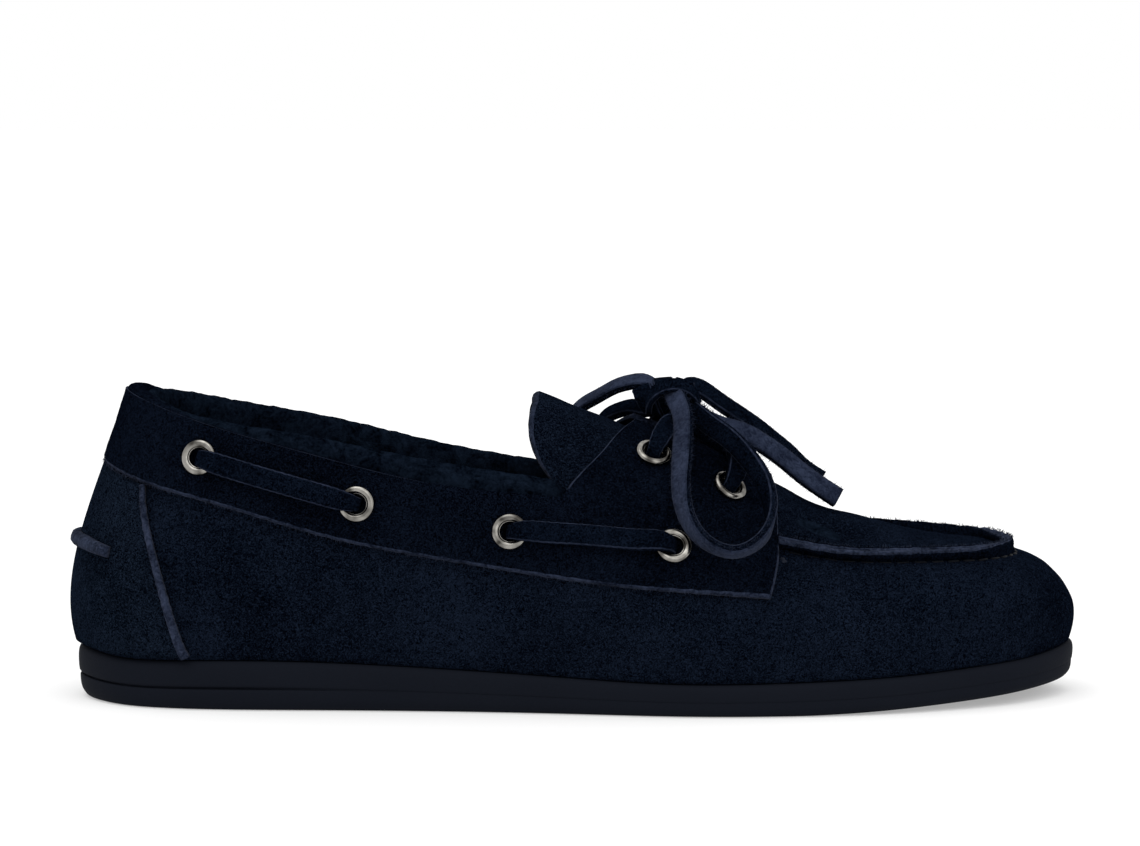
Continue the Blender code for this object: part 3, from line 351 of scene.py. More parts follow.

# %% [markdown]
# ## The free lace
# The bow is one strip of hide, so it is made before anything else: a knot, two loops and two
# cut ends. Each follows a few given points. A strip has a flat section with a dark face, a pale
# face, two narrow sides in a dark colour that is painted shade, and pale corners of cut hide with
# a painted highlight. It turns slowly round a loop, which is what shows now the dark face and now the pale
# one.

# %% A strip of lace along a route
LACE_WIDTH = 0.0055
LACE_THICKNESS = 0.0022
LACE_SECTION = (
    (1.00, 0.00), (0.97, 0.60), (0.86, 0.96), (0.45, 1.00), (0.0, 1.02), (-0.45, 1.00), (-0.86, 0.96),
    (-0.97, 0.60), (-1.00, 0.00), (-0.97, -0.60), (-0.86, -0.96), (-0.45, -1.00), (0.0, -1.02),
    (0.45, -1.00), (0.86, -0.96), (0.97, -0.60),
)
# Slots: 0 the face that is pale on the bow, 1 the corners, pale with a painted highlight, 2 the dark face, 3
# the sides, darkened as painted shade.
LACE_SLOTS = (3, 1, 0, 0, 0, 0, 1, 3, 3, 1, 2, 2, 2, 2, 1, 3)


def wobble(places, period, seed):
    """A gentle uneven wave, the same on every run."""
    turn = 2.0 * math.pi / period
    return (
        np.sin(turn * places + seed) + 0.6 * np.sin(turn * 2.3 * places + 1.7 * seed)
        + 0.4 * np.sin(turn * 4.7 * places + 2.9 * seed)
    ) / 2.0


def mesh_piece(name, points, faces, slots, materials):
    """An object from points and faces, closed, merged and turned outwards."""
    mesh = bpy.data.meshes.new(name)
    mesh.from_pydata(np.asarray(points).tolist(), [], faces)
    for material in materials:
        mesh.materials.append(material)
    mesh.polygons.foreach_set("material_index", slots)
    mesh.polygons.foreach_set("use_smooth", [True] * len(faces))
    work = bmesh.new()
    work.from_mesh(mesh)
    bmesh.ops.remove_doubles(work, verts=work.verts, dist=0.000005)
    if work.calc_volume(signed=True) < 0.0:
        bmesh.ops.reverse_faces(work, faces=work.faces)
    work.to_mesh(mesh)
    work.free()
    piece = bpy.data.objects.new(name, mesh)
    bpy.context.scene.collection.objects.link(piece)
    return piece


def dress(piece, slot, *nodes):
    """Attaches a finished piece to the root body and hides the solids that it stands for; its material slot
    is not used.
    """
    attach(piece, "root")
    if nodes:
        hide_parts(*nodes)
    return piece


def tube_faces(rings, corners):
    """Faces of a tube of equal rings and its two end caps."""
    faces = []
    for i in range(rings - 1):
        for j in range(corners):
            a = i * corners + j
            b = i * corners + (j + 1) % corners
            faces.append((a, b, b + corners, a + corners))
    faces.append(tuple(range(corners - 1, -1, -1)))
    faces.append(tuple(range((rings - 1) * corners, rings * corners)))
    return faces


def lace_strip(name, route, across, widths, materials, thickness=LACE_THICKNESS):
    """A flat strip of hide with pale corners that carry a painted highlight, and slightly hairy sides in
    painted shade.
    """
    route = np.asarray(route)
    tangent = unit(np.gradient(route, axis=0))
    wide = unit(across - tangent * np.sum(across * tangent, axis=1, keepdims=True))
    thick = np.cross(tangent, wide)
    reach = reach_along(route)
    half = (np.asarray(widths) / 2.0)[:, None]
    corners = len(LACE_SECTION)
    rings = []
    for j, (side, face) in enumerate(LACE_SECTION):
        ragged = 1.0 + 0.035 * wobble(reach, 0.0021, 1.0 + (side > 0) * 2.0)[:, None]
        rings.append(route + wide * half * side * ragged + thick * thickness / 2.0 * face)
    points = np.stack(rings, axis=1).reshape(-1, 3)
    faces = tube_faces(len(route), corners)
    slots = list(LACE_SLOTS) * (len(route) - 1) + [1, 1]
    piece = mesh_piece(name, points, faces, slots, materials)
    return piece, reach[-1]


def smooth_route(points, step):
    """Even points on a smooth curve through chosen ones."""
    values = np.array(points)
    reach = reach_along(values)
    curve = Curve(reach, values)
    places = even_places(curve, 0.0, reach[-1], step)
    return curve(places), places / reach[-1]

# %% [markdown]
# ### Routes of the bow
# The points are those of the solids, and each route also runs a little way into the knot. Beside
# it stands the way the strip's width points at a few of its points, by number, so that the strip
# twists as leather does.

# %% The bow, its ends and its knot
OUTER_LOOP = (
    (0.02495, -0.0090, 0.0796), (0.02725, -0.0154, 0.0758), (0.02775, -0.0218, 0.0708),
    (0.02725, -0.0280, 0.0649), (0.02685, -0.0333, 0.0600), (0.02705, -0.0386, 0.0546),
    (0.02865, -0.0420, 0.0495), (0.03225, -0.0440, 0.0450), (0.03605, -0.0445, 0.0428),
    (0.04015, -0.0438, 0.0420), (0.04475, -0.0418, 0.0434), (0.04815, -0.0388, 0.0463),
    (0.04955, -0.0352, 0.0502), (0.04925, -0.0315, 0.0544), (0.04715, -0.0275, 0.0597),
    (0.04375, -0.0240, 0.0643), (0.03945, -0.0190, 0.0685), (0.03445, -0.0138, 0.0718),
    (0.03065, -0.0096, 0.0748),
)
INNER_LOOP = (
    (0.02115, 0.0088, 0.0793), (0.01855, 0.0098, 0.0808), (0.01495, 0.0108, 0.0807),
    (0.01125, 0.0118, 0.0796), (0.00685, 0.0138, 0.0771), (0.00265, 0.0170, 0.0745),
    (-0.00155, 0.0240, 0.0695), (-0.00435, 0.0335, 0.0630), (-0.00435, 0.0392, 0.0570),
    (-0.00055, 0.0415, 0.0535), (0.00355, 0.0398, 0.0571), (0.00525, 0.0338, 0.0632),
    (0.00765, 0.0270, 0.0696), (0.01155, 0.0213, 0.0724), (0.01515, 0.0172, 0.0736),
    (0.01855, 0.0130, 0.0736),
)
INNER_END = (
    (0.03125, 0.0060, 0.0800), (0.03705, 0.0075, 0.0765), (0.04365, 0.0085, 0.0720),
    (0.04815, 0.0090, 0.0688), (0.05205, 0.0092, 0.0656), (0.05605, 0.0090, 0.0622),
    (0.05945, 0.0085, 0.0588), (0.06465, 0.0080, 0.0552),
)
OUTER_END = (
    (0.03255, -0.0030, 0.0729), (0.03675, -0.0035, 0.0706), (0.04345, -0.0035, 0.0686),
    (0.04765, -0.0030, 0.0664), (0.05155, -0.0025, 0.0638), (0.05545, -0.0020, 0.0608),
    (0.05935, -0.0015, 0.0576), (0.06385, -0.0010, 0.0544), (0.06855, -0.0005, 0.0513),
)
BOW_STEP = 0.0009
# The strip is narrower where it leaves the knot, and widens over this distance
NECK = 0.72
NECK_REACH = 0.0095
OUTER_LOOP_TURNS = {
    0: (0.90, -0.25, 0.20), 1: (0.85, -0.40, 0.30), 4: (0.80, -0.50, 0.33), 7: (0.45, -0.79, 0.42),
    10: (0.00, -0.90, 0.42), 12: (-0.10, -0.92, 0.38), 13: (0.15, -0.90, 0.36), 15: (0.65, -0.64, 0.38),
    17: (0.65, -0.45, 0.55), 19: (0.60, -0.30, 0.60),
}
INNER_LOOP_TURNS = {0: (-0.15, -0.85, -0.45), 8: (-0.15, -0.85, -0.45), 17: (-0.15, -0.85, -0.45)}
INNER_END_TURNS = {0: (-0.35, -0.70, -0.55), 4: (-0.35, -0.75, -0.50), 8: (-0.45, -0.60, -0.60)}
OUTER_END_TURNS = {0: (0.45, 0.20, 0.75), 4: (0.455, 0.58, 0.655), 9: (0.50, 0.45, 0.70)}
# Name, the point inside the knot before the route, the route, those after it, and the turns
BOW = (
    (
        "lace_loop_outer", (0.0246, -0.0048, 0.0786), OUTER_LOOP,
        ((0.0282, -0.0050, 0.0762),), OUTER_LOOP_TURNS,
    ),
    (
        "lace_loop_inner", (0.0236, 0.0030, 0.0782), INNER_LOOP,
        ((0.0220, 0.0050, 0.0748),), INNER_LOOP_TURNS,
    ),
    ("lace_end_inner", (0.0272, 0.0015, 0.0790), INNER_END, (), INNER_END_TURNS),
    ("lace_end_outer", (0.0285, -0.0010, 0.0746), OUTER_END, (), OUTER_END_TURNS),
)
strands = {}
for node, first, middle, last, turns in BOW:
    points = (first,) + middle + last
    looped = node.startswith("lace_loop")
    route, shares = smooth_route(points, BOW_STEP)
    reach = reach_along(np.array(points))
    total = reach[-1]
    across = unit(Curve([reach[k] / total for k in turns], list(turns.values()))(shares))
    along = shares * total
    from_knot = np.minimum(along, total - along) if looped else along
    widths = LACE_WIDTH * (NECK + (1.0 - NECK) * np.clip(from_knot / NECK_REACH, 0.0, 1.0))
    piece, length = lace_strip(node + "_hide", route, across, widths, HIDE_LACE)
    dress(piece, "navy_lace_leather", node)
    strands[node] = (route, across)
    print(node, "is", round(length * 1000), "mm long")

# %% The knot
KNOT_MIDDLE = np.array((0.0250, -0.0008, 0.0774))
KNOT_SPAN = 0.0125
KNOT_RADIUS = 0.0037
KNOT_TURNS = 2.25
KNOT_WIDTH = 0.0053
KNOT_THICKNESS = 0.0018
turns = np.linspace(0.0, KNOT_TURNS, 81)
shares = turns / KNOT_TURNS
angles = 2.0 * math.pi * turns + 2.2
swell = KNOT_RADIUS * (0.90 + 0.30 * np.sin(math.pi * shares) + 0.03 * np.sin(5.0 * angles))
knot_x = KNOT_SPAN * (shares - 0.5) + 0.0013 * np.cos(angles + 0.6)
knot_route = KNOT_MIDDLE + np.stack((knot_x, swell * np.cos(angles), swell * np.sin(angles)), axis=1)
belly = np.stack((0.0 * angles, np.cos(angles), np.sin(angles)), axis=1)
knot_across = np.array((1.0, 0.0, 0.0)) - belly * (0.9 * (shares - 0.5))[:, None]
knot, length = lace_strip(
    "lace_knot_hide", knot_route, knot_across, [KNOT_WIDTH] * len(turns), DARK_LACE, KNOT_THICKNESS,
)
dress(knot, "navy_lace_leather", "lace_knot")
print("the knot takes", round(length * 1000), "mm of lace")

# %% Lace round the knot
# One strand lies over the knot, one runs from it down into the throat, and one fills it
KNOT_OVER = (
    (0.0192, -0.0060, 0.0752), (0.0200, -0.0098, 0.0785), (0.0235, -0.0113, 0.0811),
    (0.0275, -0.0109, 0.0811), (0.0308, -0.0090, 0.0788), (0.0318, -0.0055, 0.0755),
)
KNOT_TIE = (
    (0.0262, 0.0045, 0.0733), (0.0320, 0.0060, 0.0694), (0.0380, 0.0068, 0.0653), (0.0430, 0.0060, 0.0608),
)
KNOT_CORE = ((0.0192, -0.0008, 0.0774), (0.0250, -0.0008, 0.0776), (0.0308, -0.0008, 0.0774))
for name, points, wide, width, thickness in (
    ("lace_over_knot", KNOT_OVER, (0.0, 0.75, 0.66), 0.0042, KNOT_THICKNESS),
    ("lace_under_knot", KNOT_TIE, (0.57, 0.10, 0.82), LACE_WIDTH, KNOT_THICKNESS),
    ("lace_in_knot", KNOT_CORE, (0.0, 1.0, 0.3), 0.0062, 0.0048),
):
    route, shares = smooth_route(points, BOW_STEP)
    across = np.array(wide) + 0.0 * route
    strip, length = lace_strip(name, route, across, [width] * len(route), DARK_LACE, thickness)
    dress(strip, "navy_lace_leather")
    print(name, "is", round(length * 1000), "mm long")

# %% [markdown]
# ### Loose fibres
# Cut hide sheds fibres. Each is a thin spike that stands on an edge and leans its own way, so a
# few hundred of them give the edge the slightly furry outline it has in the photograph.

# %% Fibres along an edge
FIBRE_WIDTH = 0.00008
BOW_FIBRE_LENGTH = 0.0017


def fluff(name, roots, outward, count, length, seed, material, slot):
    """Short fibres that lean out from a line of points."""
    chance = np.random.default_rng(seed)
    at = chance.uniform(0, len(roots) - 1.001, count)
    low = at.astype(int)
    part = (at - low)[:, None]
    root = roots[low] * (1.0 - part) + roots[low + 1] * part
    lean = unit(outward[low] + chance.normal(0.0, 0.45, (count, 3)))
    size = length * chance.uniform(0.35, 1.0, count)[:, None] ** 1.5
    side = unit(np.cross(lean, (0.3, 0.5, 0.8)))
    other = np.cross(lean, side)
    bend = root + lean * size * 0.55
    tip = root + lean * size + side * size * chance.normal(0.0, 0.30, (count, 1))
    foot = root - lean * size * 0.15
    rings = [
        foot + side * FIBRE_WIDTH,
        foot - side * FIBRE_WIDTH * 0.5 + other * FIBRE_WIDTH,
        foot - side * FIBRE_WIDTH * 0.5 - other * FIBRE_WIDTH,
        bend + side * FIBRE_WIDTH * 0.6,
        bend - side * FIBRE_WIDTH * 0.3 + other * FIBRE_WIDTH * 0.5,
        bend - side * FIBRE_WIDTH * 0.3 - other * FIBRE_WIDTH * 0.5,
        tip,
    ]
    points = np.stack(rings, axis=1).reshape(-1, 3)
    pattern = ((0, 2, 1), (0, 1, 4, 3), (1, 2, 5, 4), (2, 0, 3, 5), (3, 4, 6), (4, 5, 6), (5, 3, 6))
    faces = [tuple(k * 7 + corner for corner in face) for k in range(count) for face in pattern]
    dress(mesh_piece(name, points, faces, [0] * len(faces), (material,)), slot)


FIBRE_COUNTS = {"lace_loop_outer": 560, "lace_loop_inner": 220, "lace_end_inner": 140, "lace_end_outer": 140}
for node, count in FIBRE_COUNTS.items():
    route, across = strands[node]
    for word, way in (("right", 1.0), ("left", -1.0)):
        fluff(
            node + "_fibres_" + word, (route + across * way * LACE_WIDTH * 0.49)[4:], (across * way)[4:],
            count, BOW_FIBRE_LENGTH, count + int(way), lace_pale, "navy_lace_leather",
        )
print("fibres on the bow")

# %% [markdown]
# ## The last
# Shoemakers build round a last, a solid foot shape. Ours is a table of cross-sections from heel
# to toe. The feather is the line where upper meets sole. The rim is the collar's top line, and
# in front of the throat it is the apron seam. A wall curve joins the two, and a second curve
# runs from the rim over the instep to the crown line.

# %% Sections of the last
LENGTH = 0.2617
BALL_WIDTH = 0.0900
HEEL_HEIGHT = 0.0807
HEEL_X = -0.13055
CLEARANCE = 0.0003
UPPER_WALL = 0.0018
LAST_ROW = 13
LOOP = 26.0
THROAT_ROW = 6.0
BAND_FRONT = 8.0
THROAT_HALF = 0.0090
UP = np.array((0.0, 0.0, 1.0))
# Feather x, outer and inner width and height; rim x, outer and inner width and two heights; kick; lean
SECTIONS = np.array((
    (0.0100, 0.000, 0.000, 0.171, 0.0625, 0.000, 0.000, 0.988, 0.988, 18, 74),
    (0.0335, 0.176, 0.174, 0.161, 0.0745, 0.120, 0.120, 0.972, 0.974, 18, 76),
    (0.0780, 0.286, 0.280, 0.152, 0.1120, 0.230, 0.222, 0.930, 0.935, 18, 80),
    (0.1528, 0.341, 0.330, 0.157, 0.1720, 0.305, 0.284, 0.872, 0.876, 16, 84),
    (0.2522, 0.356, 0.333, 0.154, 0.2637, 0.344, 0.320, 0.794, 0.799, 15, 87),
    (0.3668, 0.377, 0.318, 0.138, 0.3707, 0.360, 0.333, 0.714, 0.719, 14, 84),
    (0.4776, 0.418, 0.344, 0.119, 0.4880, 0.356, 0.339, 0.668, 0.670, 13, 66),
    (0.5770, 0.469, 0.420, 0.104, 0.5885, 0.389, 0.372, 0.613, 0.626, 12, 50),
    (0.6690, 0.482, 0.485, 0.104, 0.6954, 0.306, 0.333, 0.520, 0.545, 12, 34),
    (0.7757, 0.437, 0.502, 0.112, 0.7681, 0.291, 0.344, 0.478, 0.503, 14, 24),
    (0.8502, 0.358, 0.467, 0.123, 0.8330, 0.272, 0.329, 0.473, 0.488, 15, 18),
    (0.9080, 0.270, 0.421, 0.136, 0.8820, 0.214, 0.294, 0.470, 0.479, 15, 14),
    (0.9590, 0.136, 0.327, 0.150, 0.9160, 0.122, 0.228, 0.469, 0.473, 16, 13),
    (0.9950, -0.100, 0.100, 0.169, 0.9335, -0.056, 0.056, 0.467, 0.467, 18, 12),
))
# Crown x, y, height and rise for rows 4 to 13
CROWN = np.array((
    (0.4635, 0.000, 1.014, 70), (0.5120, 0.000, 0.953, 68), (0.5617, 0.000, 0.887, 62),
    (0.6230, 0.000, 0.809, 50), (0.6950, 0.000, 0.691, 34), (0.7640, 0.014, 0.588, 28),
    (0.8180, 0.028, 0.536, 16), (0.8560, 0.040, 0.511, 10), (0.8830, 0.050, 0.498, 8),
    (0.8970, 0.056, 0.494, 7),
))
# Band's lower edge and the padded roll's rise for rows 0 to 8
BAND = np.array((
    (0.765, 0.014), (0.734, 0.024), (0.689, 0.038), (0.636, 0.055), (0.550, 0.072),
    (0.483, 0.074), (0.428, 0.080), (0.397, 0.078), (0.364, 0.078),
))


def closed_loop(x, outer, inner, z_outer, z_inner):
    """The loop round the shoe: heel to toe on the outer side and back on the inner side."""
    there = np.stack((HEEL_X + x * LENGTH, -outer * BALL_WIDTH, z_outer * HEEL_HEIGHT), axis=1)
    back = np.stack((HEEL_X + x * LENGTH, inner * BALL_WIDTH, z_inner * HEEL_HEIGHT), axis=1)
    return Curve(range(int(LOOP) + 1), np.concatenate((there, back[-2::-1])), closed=True)


feather = closed_loop(*SECTIONS[:, (0, 1, 2, 3, 3)].T)
rim = closed_loop(*SECTIONS[:, (4, 5, 6, 7, 8)].T)
wall_angles = Curve(range(LAST_ROW + 1), np.radians(SECTIONS[:, 9:]))
CROWN_SCALE = (LENGTH, BALL_WIDTH, HEEL_HEIGHT, math.pi / 180)
crown = Curve(range(4, LAST_ROW + 1), CROWN * CROWN_SCALE + (HEEL_X, 0, 0, 0))
band_line = Curve(range(9), BAND * HEEL_HEIGHT)
SHOULDERS = (
    ((0.4735, -0.350, 0.607), (0.4820, -0.354, 0.637)),
    ((0.4735, 0.333, 0.607), (0.4820, 0.336, 0.637)),
)
shoulders = []
for rear, place in zip(SHOULDERS, (THROAT_ROW, LOOP - THROAT_ROW)):
    spots = [(HEEL_X + x * LENGTH, y * BALL_WIDTH, z * HEEL_HEIGHT) for x, y, z in rear]
    shoulders.append(Curve((4, 5, 6), spots + [tuple(rim(place))]))
print("girth of the rim:", round(float(reach_along(rim(np.linspace(0.0, LOOP, 500)))[-1]), 3), "m")

# %% [markdown]
# ### The skin of the last
# Every panel lies on this skin, so one pair of functions gives a point and its outward
# direction anywhere on it: v from 0 to 1 climbs the wall, and v from 1 to 2 crosses the instep.

# %% Points and directions on the skin
def row_of(place):
    """The row, from heel to toe, of a place on the loop round the shoe."""
    place = place % LOOP
    return np.minimum(place, LOOP - place)


def side_of(place):
    """Minus one on the outer side and one on the inner side."""
    return np.where(place % LOOP <= LAST_ROW, -1.0, 1.0)


def place_of(row, side):
    """The place on the loop of a row on one side."""
    return np.where(side < 0, row, (LOOP - row) % LOOP)


def bezier(a, b, c, d, t):
    return (1 - t) ** 3 * a + 3 * t * (1 - t) ** 2 * b + 3 * t * t * (1 - t) * c + t**3 * d


def wall(place, t):
    """A point of the wall, from the feather at 0 to the rim at 1."""
    foot = feather(place) + UP * CLEARANCE
    top = rim(place)
    kick, lean = np.moveaxis(wall_angles(row_of(place))[..., None], -2, 0)
    tangent = feather(place + 0.02) - feather(place - 0.02)
    out = unit(np.stack((tangent[..., 1], -tangent[..., 0], 0.0 * tangent[..., 2]), axis=-1))
    reach = np.linalg.norm(top - foot, axis=-1, keepdims=True)
    share = (row_of(place) / LAST_ROW)[..., None]
    low = foot + (out * np.sin(kick) + UP * np.cos(kick)) * reach * (0.30 + 0.12 * share)
    high = top - (UP * np.sin(lean) - out * np.cos(lean)) * reach * (0.38 + 0.07 * share)
    return bezier(foot, low, high, top, np.asarray(t)[..., None])


def instep(row, side, w):
    """A point over the foot, from the rim at 0 to the crown at 1."""
    row, side, w = np.broadcast_arrays(row, side, w)
    start = rim(place_of(row, side))
    rear = np.where((side < 0)[..., None], shoulders[0](row), shoulders[1](row))
    start = np.where((row >= THROAT_ROW)[..., None], start, rear)
    line = crown(row)
    top = line[..., :3]
    rise = line[..., 3:]
    level = unit((top - start) * (1.0, 1.0, 0.0))
    reach = np.linalg.norm(top - start, axis=-1, keepdims=True)
    low = start + (level * np.cos(rise) + UP * np.sin(rise)) * reach * 0.36
    across = side[..., None] * np.array((0.0, 1.0, 0.0))
    blend = np.clip((row - 9.0) / 4.0, 0.0, 1.0)[..., None]
    high = top + unit(across * (1 - blend) - level * blend) * reach * 0.42
    return bezier(start, low, high, top, w[..., None])


def skin(place, v):
    """A point of the last: the wall up to 1 and the instep up to 2."""
    place, v = np.broadcast_arrays(np.asarray(place, float), np.asarray(v, float))
    low = wall(place, np.minimum(v, 1.0))
    high = instep(row_of(place), side_of(place), np.maximum(v - 1.0, 0.0))
    return np.where((v <= 1.0)[..., None], low, high)


def instep_normal(row, side, w):
    """The outward direction on the instep."""
    small = 0.01
    row = np.clip(row, 4.0, LAST_ROW - 2.0 * small)
    w = np.clip(w, small, 1.0 - small)
    along = instep(row + small, side, w) - instep(np.maximum(row - small, 4.0), side, w)
    over = instep(row, side, w + small) - instep(row, side, w - small)
    return unit(np.cross(along, over) * -np.asarray(side)[..., None])


def crown_normal(row):
    """The direction at the crown, where the two halves of the instep meet."""
    level = 0.0 * row
    return unit(instep_normal(row, level - 1.0, level + 1.0) + instep_normal(row, level + 1.0, level + 1.0))


def skin_normal(place, v):
    """The outward direction anywhere on the last."""
    place, v = np.broadcast_arrays(np.asarray(place, float), np.asarray(v, float))
    small = 0.01
    t = np.clip(v, small, 1.0 - small)
    along = wall(place + small, t) - wall(place - small, t)
    upward = unit(np.cross(along, wall(place, t + small) - wall(place, t - small)))
    row = row_of(place)
    side = side_of(place)
    over = instep_normal(row, side, np.maximum(v - 1.0, 0.0))
    over = np.where((v > 1.999)[..., None], crown_normal(row), over)
    fold = unit(upward + over)
    on_fold = (np.abs(v - 1.0) <= 0.001) & (row >= THROAT_ROW)
    result = np.where(((v < 1.0) | (row < THROAT_ROW))[..., None], upward, over)
    return np.where(on_fold[..., None], fold, result)


def lifted(place, v, lift):
    """A point that stands off the last."""
    return skin(place, v) + skin_normal(place, v) * np.asarray(lift)[..., None]


def share_at(test, low, high):
    """The last share between low and high where a test still holds, found by halving."""
    low = low + 0.0
    high = high + 0.0
    for step in range(24):
        middle = (low + high) / 2.0
        holds = test(middle)
        low = np.where(holds, middle, low)
        high = np.where(holds, high, middle)
    return (low + high) / 2.0


def wall_share(place, height):
    """The share of the wall at which it reaches a height."""
    place = np.asarray(place, float)
    return share_at(lambda t: wall(place, t)[..., 2] < height, 0.0 * place, 0.0 * place + 1.0)


def throat_share(row, side):
    """How far up the instep the eyestay reaches, which leaves the throat open."""
    row = np.minimum(np.asarray(row, float), BAND_FRONT)

    def beside_throat(w):
        return np.abs(instep(row, side, w)[..., 1] - crown(row)[..., 1]) > THROAT_HALF

    return share_at(beside_throat, 0.0 * row, 0.0 * row + 1.0)


print("heel height from the skin:", round(float(skin(0.0, 1.0)[2]) * 1000, 1), "mm")

# %% [markdown]
# ### Leather panels
# A panel is cut from flat hide and laid on the last, so it is a net of points with an outer
# and an inner face. Near its cut edges the outer face drops in a small step, where the knife
# has left paler hide showing. The net's border is found from the cells themselves.

# %% Panels of hide
EDGE_STEPS = np.array((0.0, 0.00035, 0.0008))
EDGE_DROP = np.array((0.45, 0.82, 1.0))


def panel(name, columns_outer, columns_inner, raw, materials):
    """A closed panel from two nets of equal columns; raw marks cells that show cut hide."""
    counts = [len(column) for column in columns_outer]
    starts = np.concatenate([[0], np.cumsum(counts)])
    outer = np.concatenate(columns_outer)
    inner = np.concatenate(columns_inner)
    total = len(outer)
    faces = []
    slots = []
    border = {}
    for i in range(len(counts) - 1):
        for j in range(min(counts[i], counts[i + 1]) - 1):
            a = int(starts[i]) + j
            b = int(starts[i + 1]) + j
            cell = (a, b, b + 1, a + 1)
            faces.append(cell)
            slots.append(1 if raw[i][j] else 0)
            faces.append(tuple(total + corner for corner in reversed(cell)))
            slots.append(2)
            for k in range(4):
                edge = (cell[k], cell[(k + 1) % 4])
                if (edge[1], edge[0]) in border:
                    del border[(edge[1], edge[0])]
                else:
                    border[edge] = True
    for start, end in border:
        faces.append((end, start, total + start, total + end))
        slots.append(1)
    return mesh_piece(name, np.concatenate((outer, inner)), faces, slots, materials)


def edge_drop(distance):
    """The outer face's share of full thickness at a distance from a cut edge."""
    return np.interp(distance, EDGE_STEPS, EDGE_DROP)


def with_edge(low, high, speed, count, at_low=True, at_high=False):
    """Shares from low to high with close steps beside a cut edge; speed is metres a share."""
    close = EDGE_STEPS / speed
    first = low + close if at_low else np.array((low,))
    last = (high - close)[::-1] if at_high else np.array((high,))
    between = np.linspace(first[-1], last[0], count + 2)[1:-1]
    return np.concatenate((first, between, last))


# %% [markdown]
# ## Sole
# The unit sole is one rubber moulding. Its side is drawn as a profile of height and inset and
# carried round the feather line: a soft lower corner, a groove that fades out behind the arch,
# and a rounded lip under the upper. The tread underneath is fine wavy sipes.

# %% Sole
TOE_SPRING = 0.0042
SPRING_START = HEEL_X + 0.187
GROOVE_DEPTH = 0.0010
GROOVE_END = HEEL_X + 0.092
GROOVE_FADE = 0.045
SOLE_STEP = 0.0016
SOLE_LIP = 0.0008
# Height share, inset in metres, share of groove
SOLE_SIDE = Curve(
    (0, 1, 2, 3, 4, 5, 6, 7, 8, 9, 10, 11, 12),
    (
        (0.000, 0.0034, 0.0), (0.015, 0.0024, 0.0), (0.050, 0.0017, 0.0), (0.120, 0.0010, 0.0),
        (0.240, 0.0004, 0.0), (0.412, 0.0002, 0.03), (0.440, 0.0002, 0.85), (0.460, 0.0002, 1.0),
        (0.480, 0.0002, 0.85), (0.508, 0.0000, 0.03), (0.740, -0.0002, 0.0), (0.925, 0.0001, 0.0),
        (1.000, 0.0010, 0.0),
    ),
)
sole_places = even_places(feather, 0.0, LOOP, SOLE_STEP)[:-1]
edge = feather(sole_places)
tangent = feather(sole_places + 0.02) - feather(sole_places - 0.02)
out = unit(np.stack((tangent[:, 1], -tangent[:, 0], 0.0 * tangent[:, 2]), axis=-1))
fade = np.clip((GROOVE_END - edge[:, 0]) / GROOVE_FADE, 0.0, 1.0) ** 2
rings = []
for height, inset, groove in SOLE_SIDE(np.linspace(0.0, 12.0, 49)):
    ring = edge - out * (inset + max(groove, 0.0) * GROOVE_DEPTH * fade - SOLE_LIP)[:, None]
    toward_toe = (ring[:, 0] - SPRING_START) / (LENGTH + HEEL_X - SPRING_START)
    floor = TOE_SPRING * np.maximum(toward_toe, 0.0) ** 1.5
    ring[:, 2] = floor + max(height, 0.0) * (edge[:, 2] - floor)
    rings.append(ring)


def ladder(ring, flip):
    """Faces that fill a ring crosswise, from one side to the other."""
    count = len(ring)
    faces = []
    for i in range(count // 2):
        corners = (ring[i], ring[i + 1], ring[(count - i - 1) % count], ring[(count - i) % count])
        corners = list(dict.fromkeys(corners))
        if len(corners) > 2:
            faces.append(tuple(reversed(corners)) if flip else tuple(corners))
    return faces


def stacked(name, rings, bottom_slot, materials):
    """A closed solid of equal rings, filled crosswise at both ends."""
    count = len(rings[0])
    levels = len(rings)
    faces = []
    for level in range(levels - 1):
        for i in range(count):
            a = level * count + i
            b = level * count + (i + 1) % count
            faces.append((a, b, b + count, a + count))
    slots = [0] * len(faces)
    under = ladder(list(range(count)), True)
    over = ladder(list(range((levels - 1) * count, levels * count)), False)
    slots += [bottom_slot] * len(under) + [0] * len(over)
    return mesh_piece(name, np.concatenate(rings), faces + under + over, slots, materials)


sole = stacked("rubber_sole", rings, 1, (sole_rubber, tread_rubber))
dress(sole, "navy_rubber", "sole")
print("sole faces:", len(sole.data.polygons))

# %% [markdown]
# ## Insole
# The sock lies on the sole inside the upper. From above it is the shoe's floor, a plain leather
# board with rounded edges, made of five rings.

# %% Insole
INSOLE_GAP = 0.0007
INSOLE_THICKNESS = 0.0040
# Height share and inset in metres
INSOLE_RINGS = ((0.0, 0.0004), (0.12, 0.0001), (0.5, 0.0), (0.85, 0.0001), (1.0, 0.0006))
rings = []
for height, extra in INSOLE_RINGS:
    ring = edge - out * (UPPER_WALL + INSOLE_GAP + extra)
    ring[:, 2] = edge[:, 2] + CLEARANCE + height * INSOLE_THICKNESS
    rings.append(ring)
insole = stacked("sock_board", rings, 0, (sock_leather,))
dress(insole, "insole_leather", "insole")
print("insole width:", round(float(np.ptp(rings[2][:, 1])) * 1000, 1), "mm")

# %% [markdown]
# ## Eyelet places
# Each side has six eyelets: four along the band and two on the eyestay. The solids already hold
# rings there, so each centre and axis is measured from its ring: a ring's points spread least
# along its own axis, and a singular value decomposition finds that direction.

# %% Eyelet centres and axes
SIDE_EYELETS = (("1", 0.1372, 0.795), ("2", 0.2896, 0.657), ("3", 0.4371, 0.571), ("4", 0.5934, 0.532))
THROAT_EYELETS = (("5", 0.6496, 0.696), ("6", 0.5758, 0.803))
BAND_GAP = 0.0004
BAND_THICKNESS = 0.0016
BAND_TOP = BAND_GAP + BAND_THICKNESS
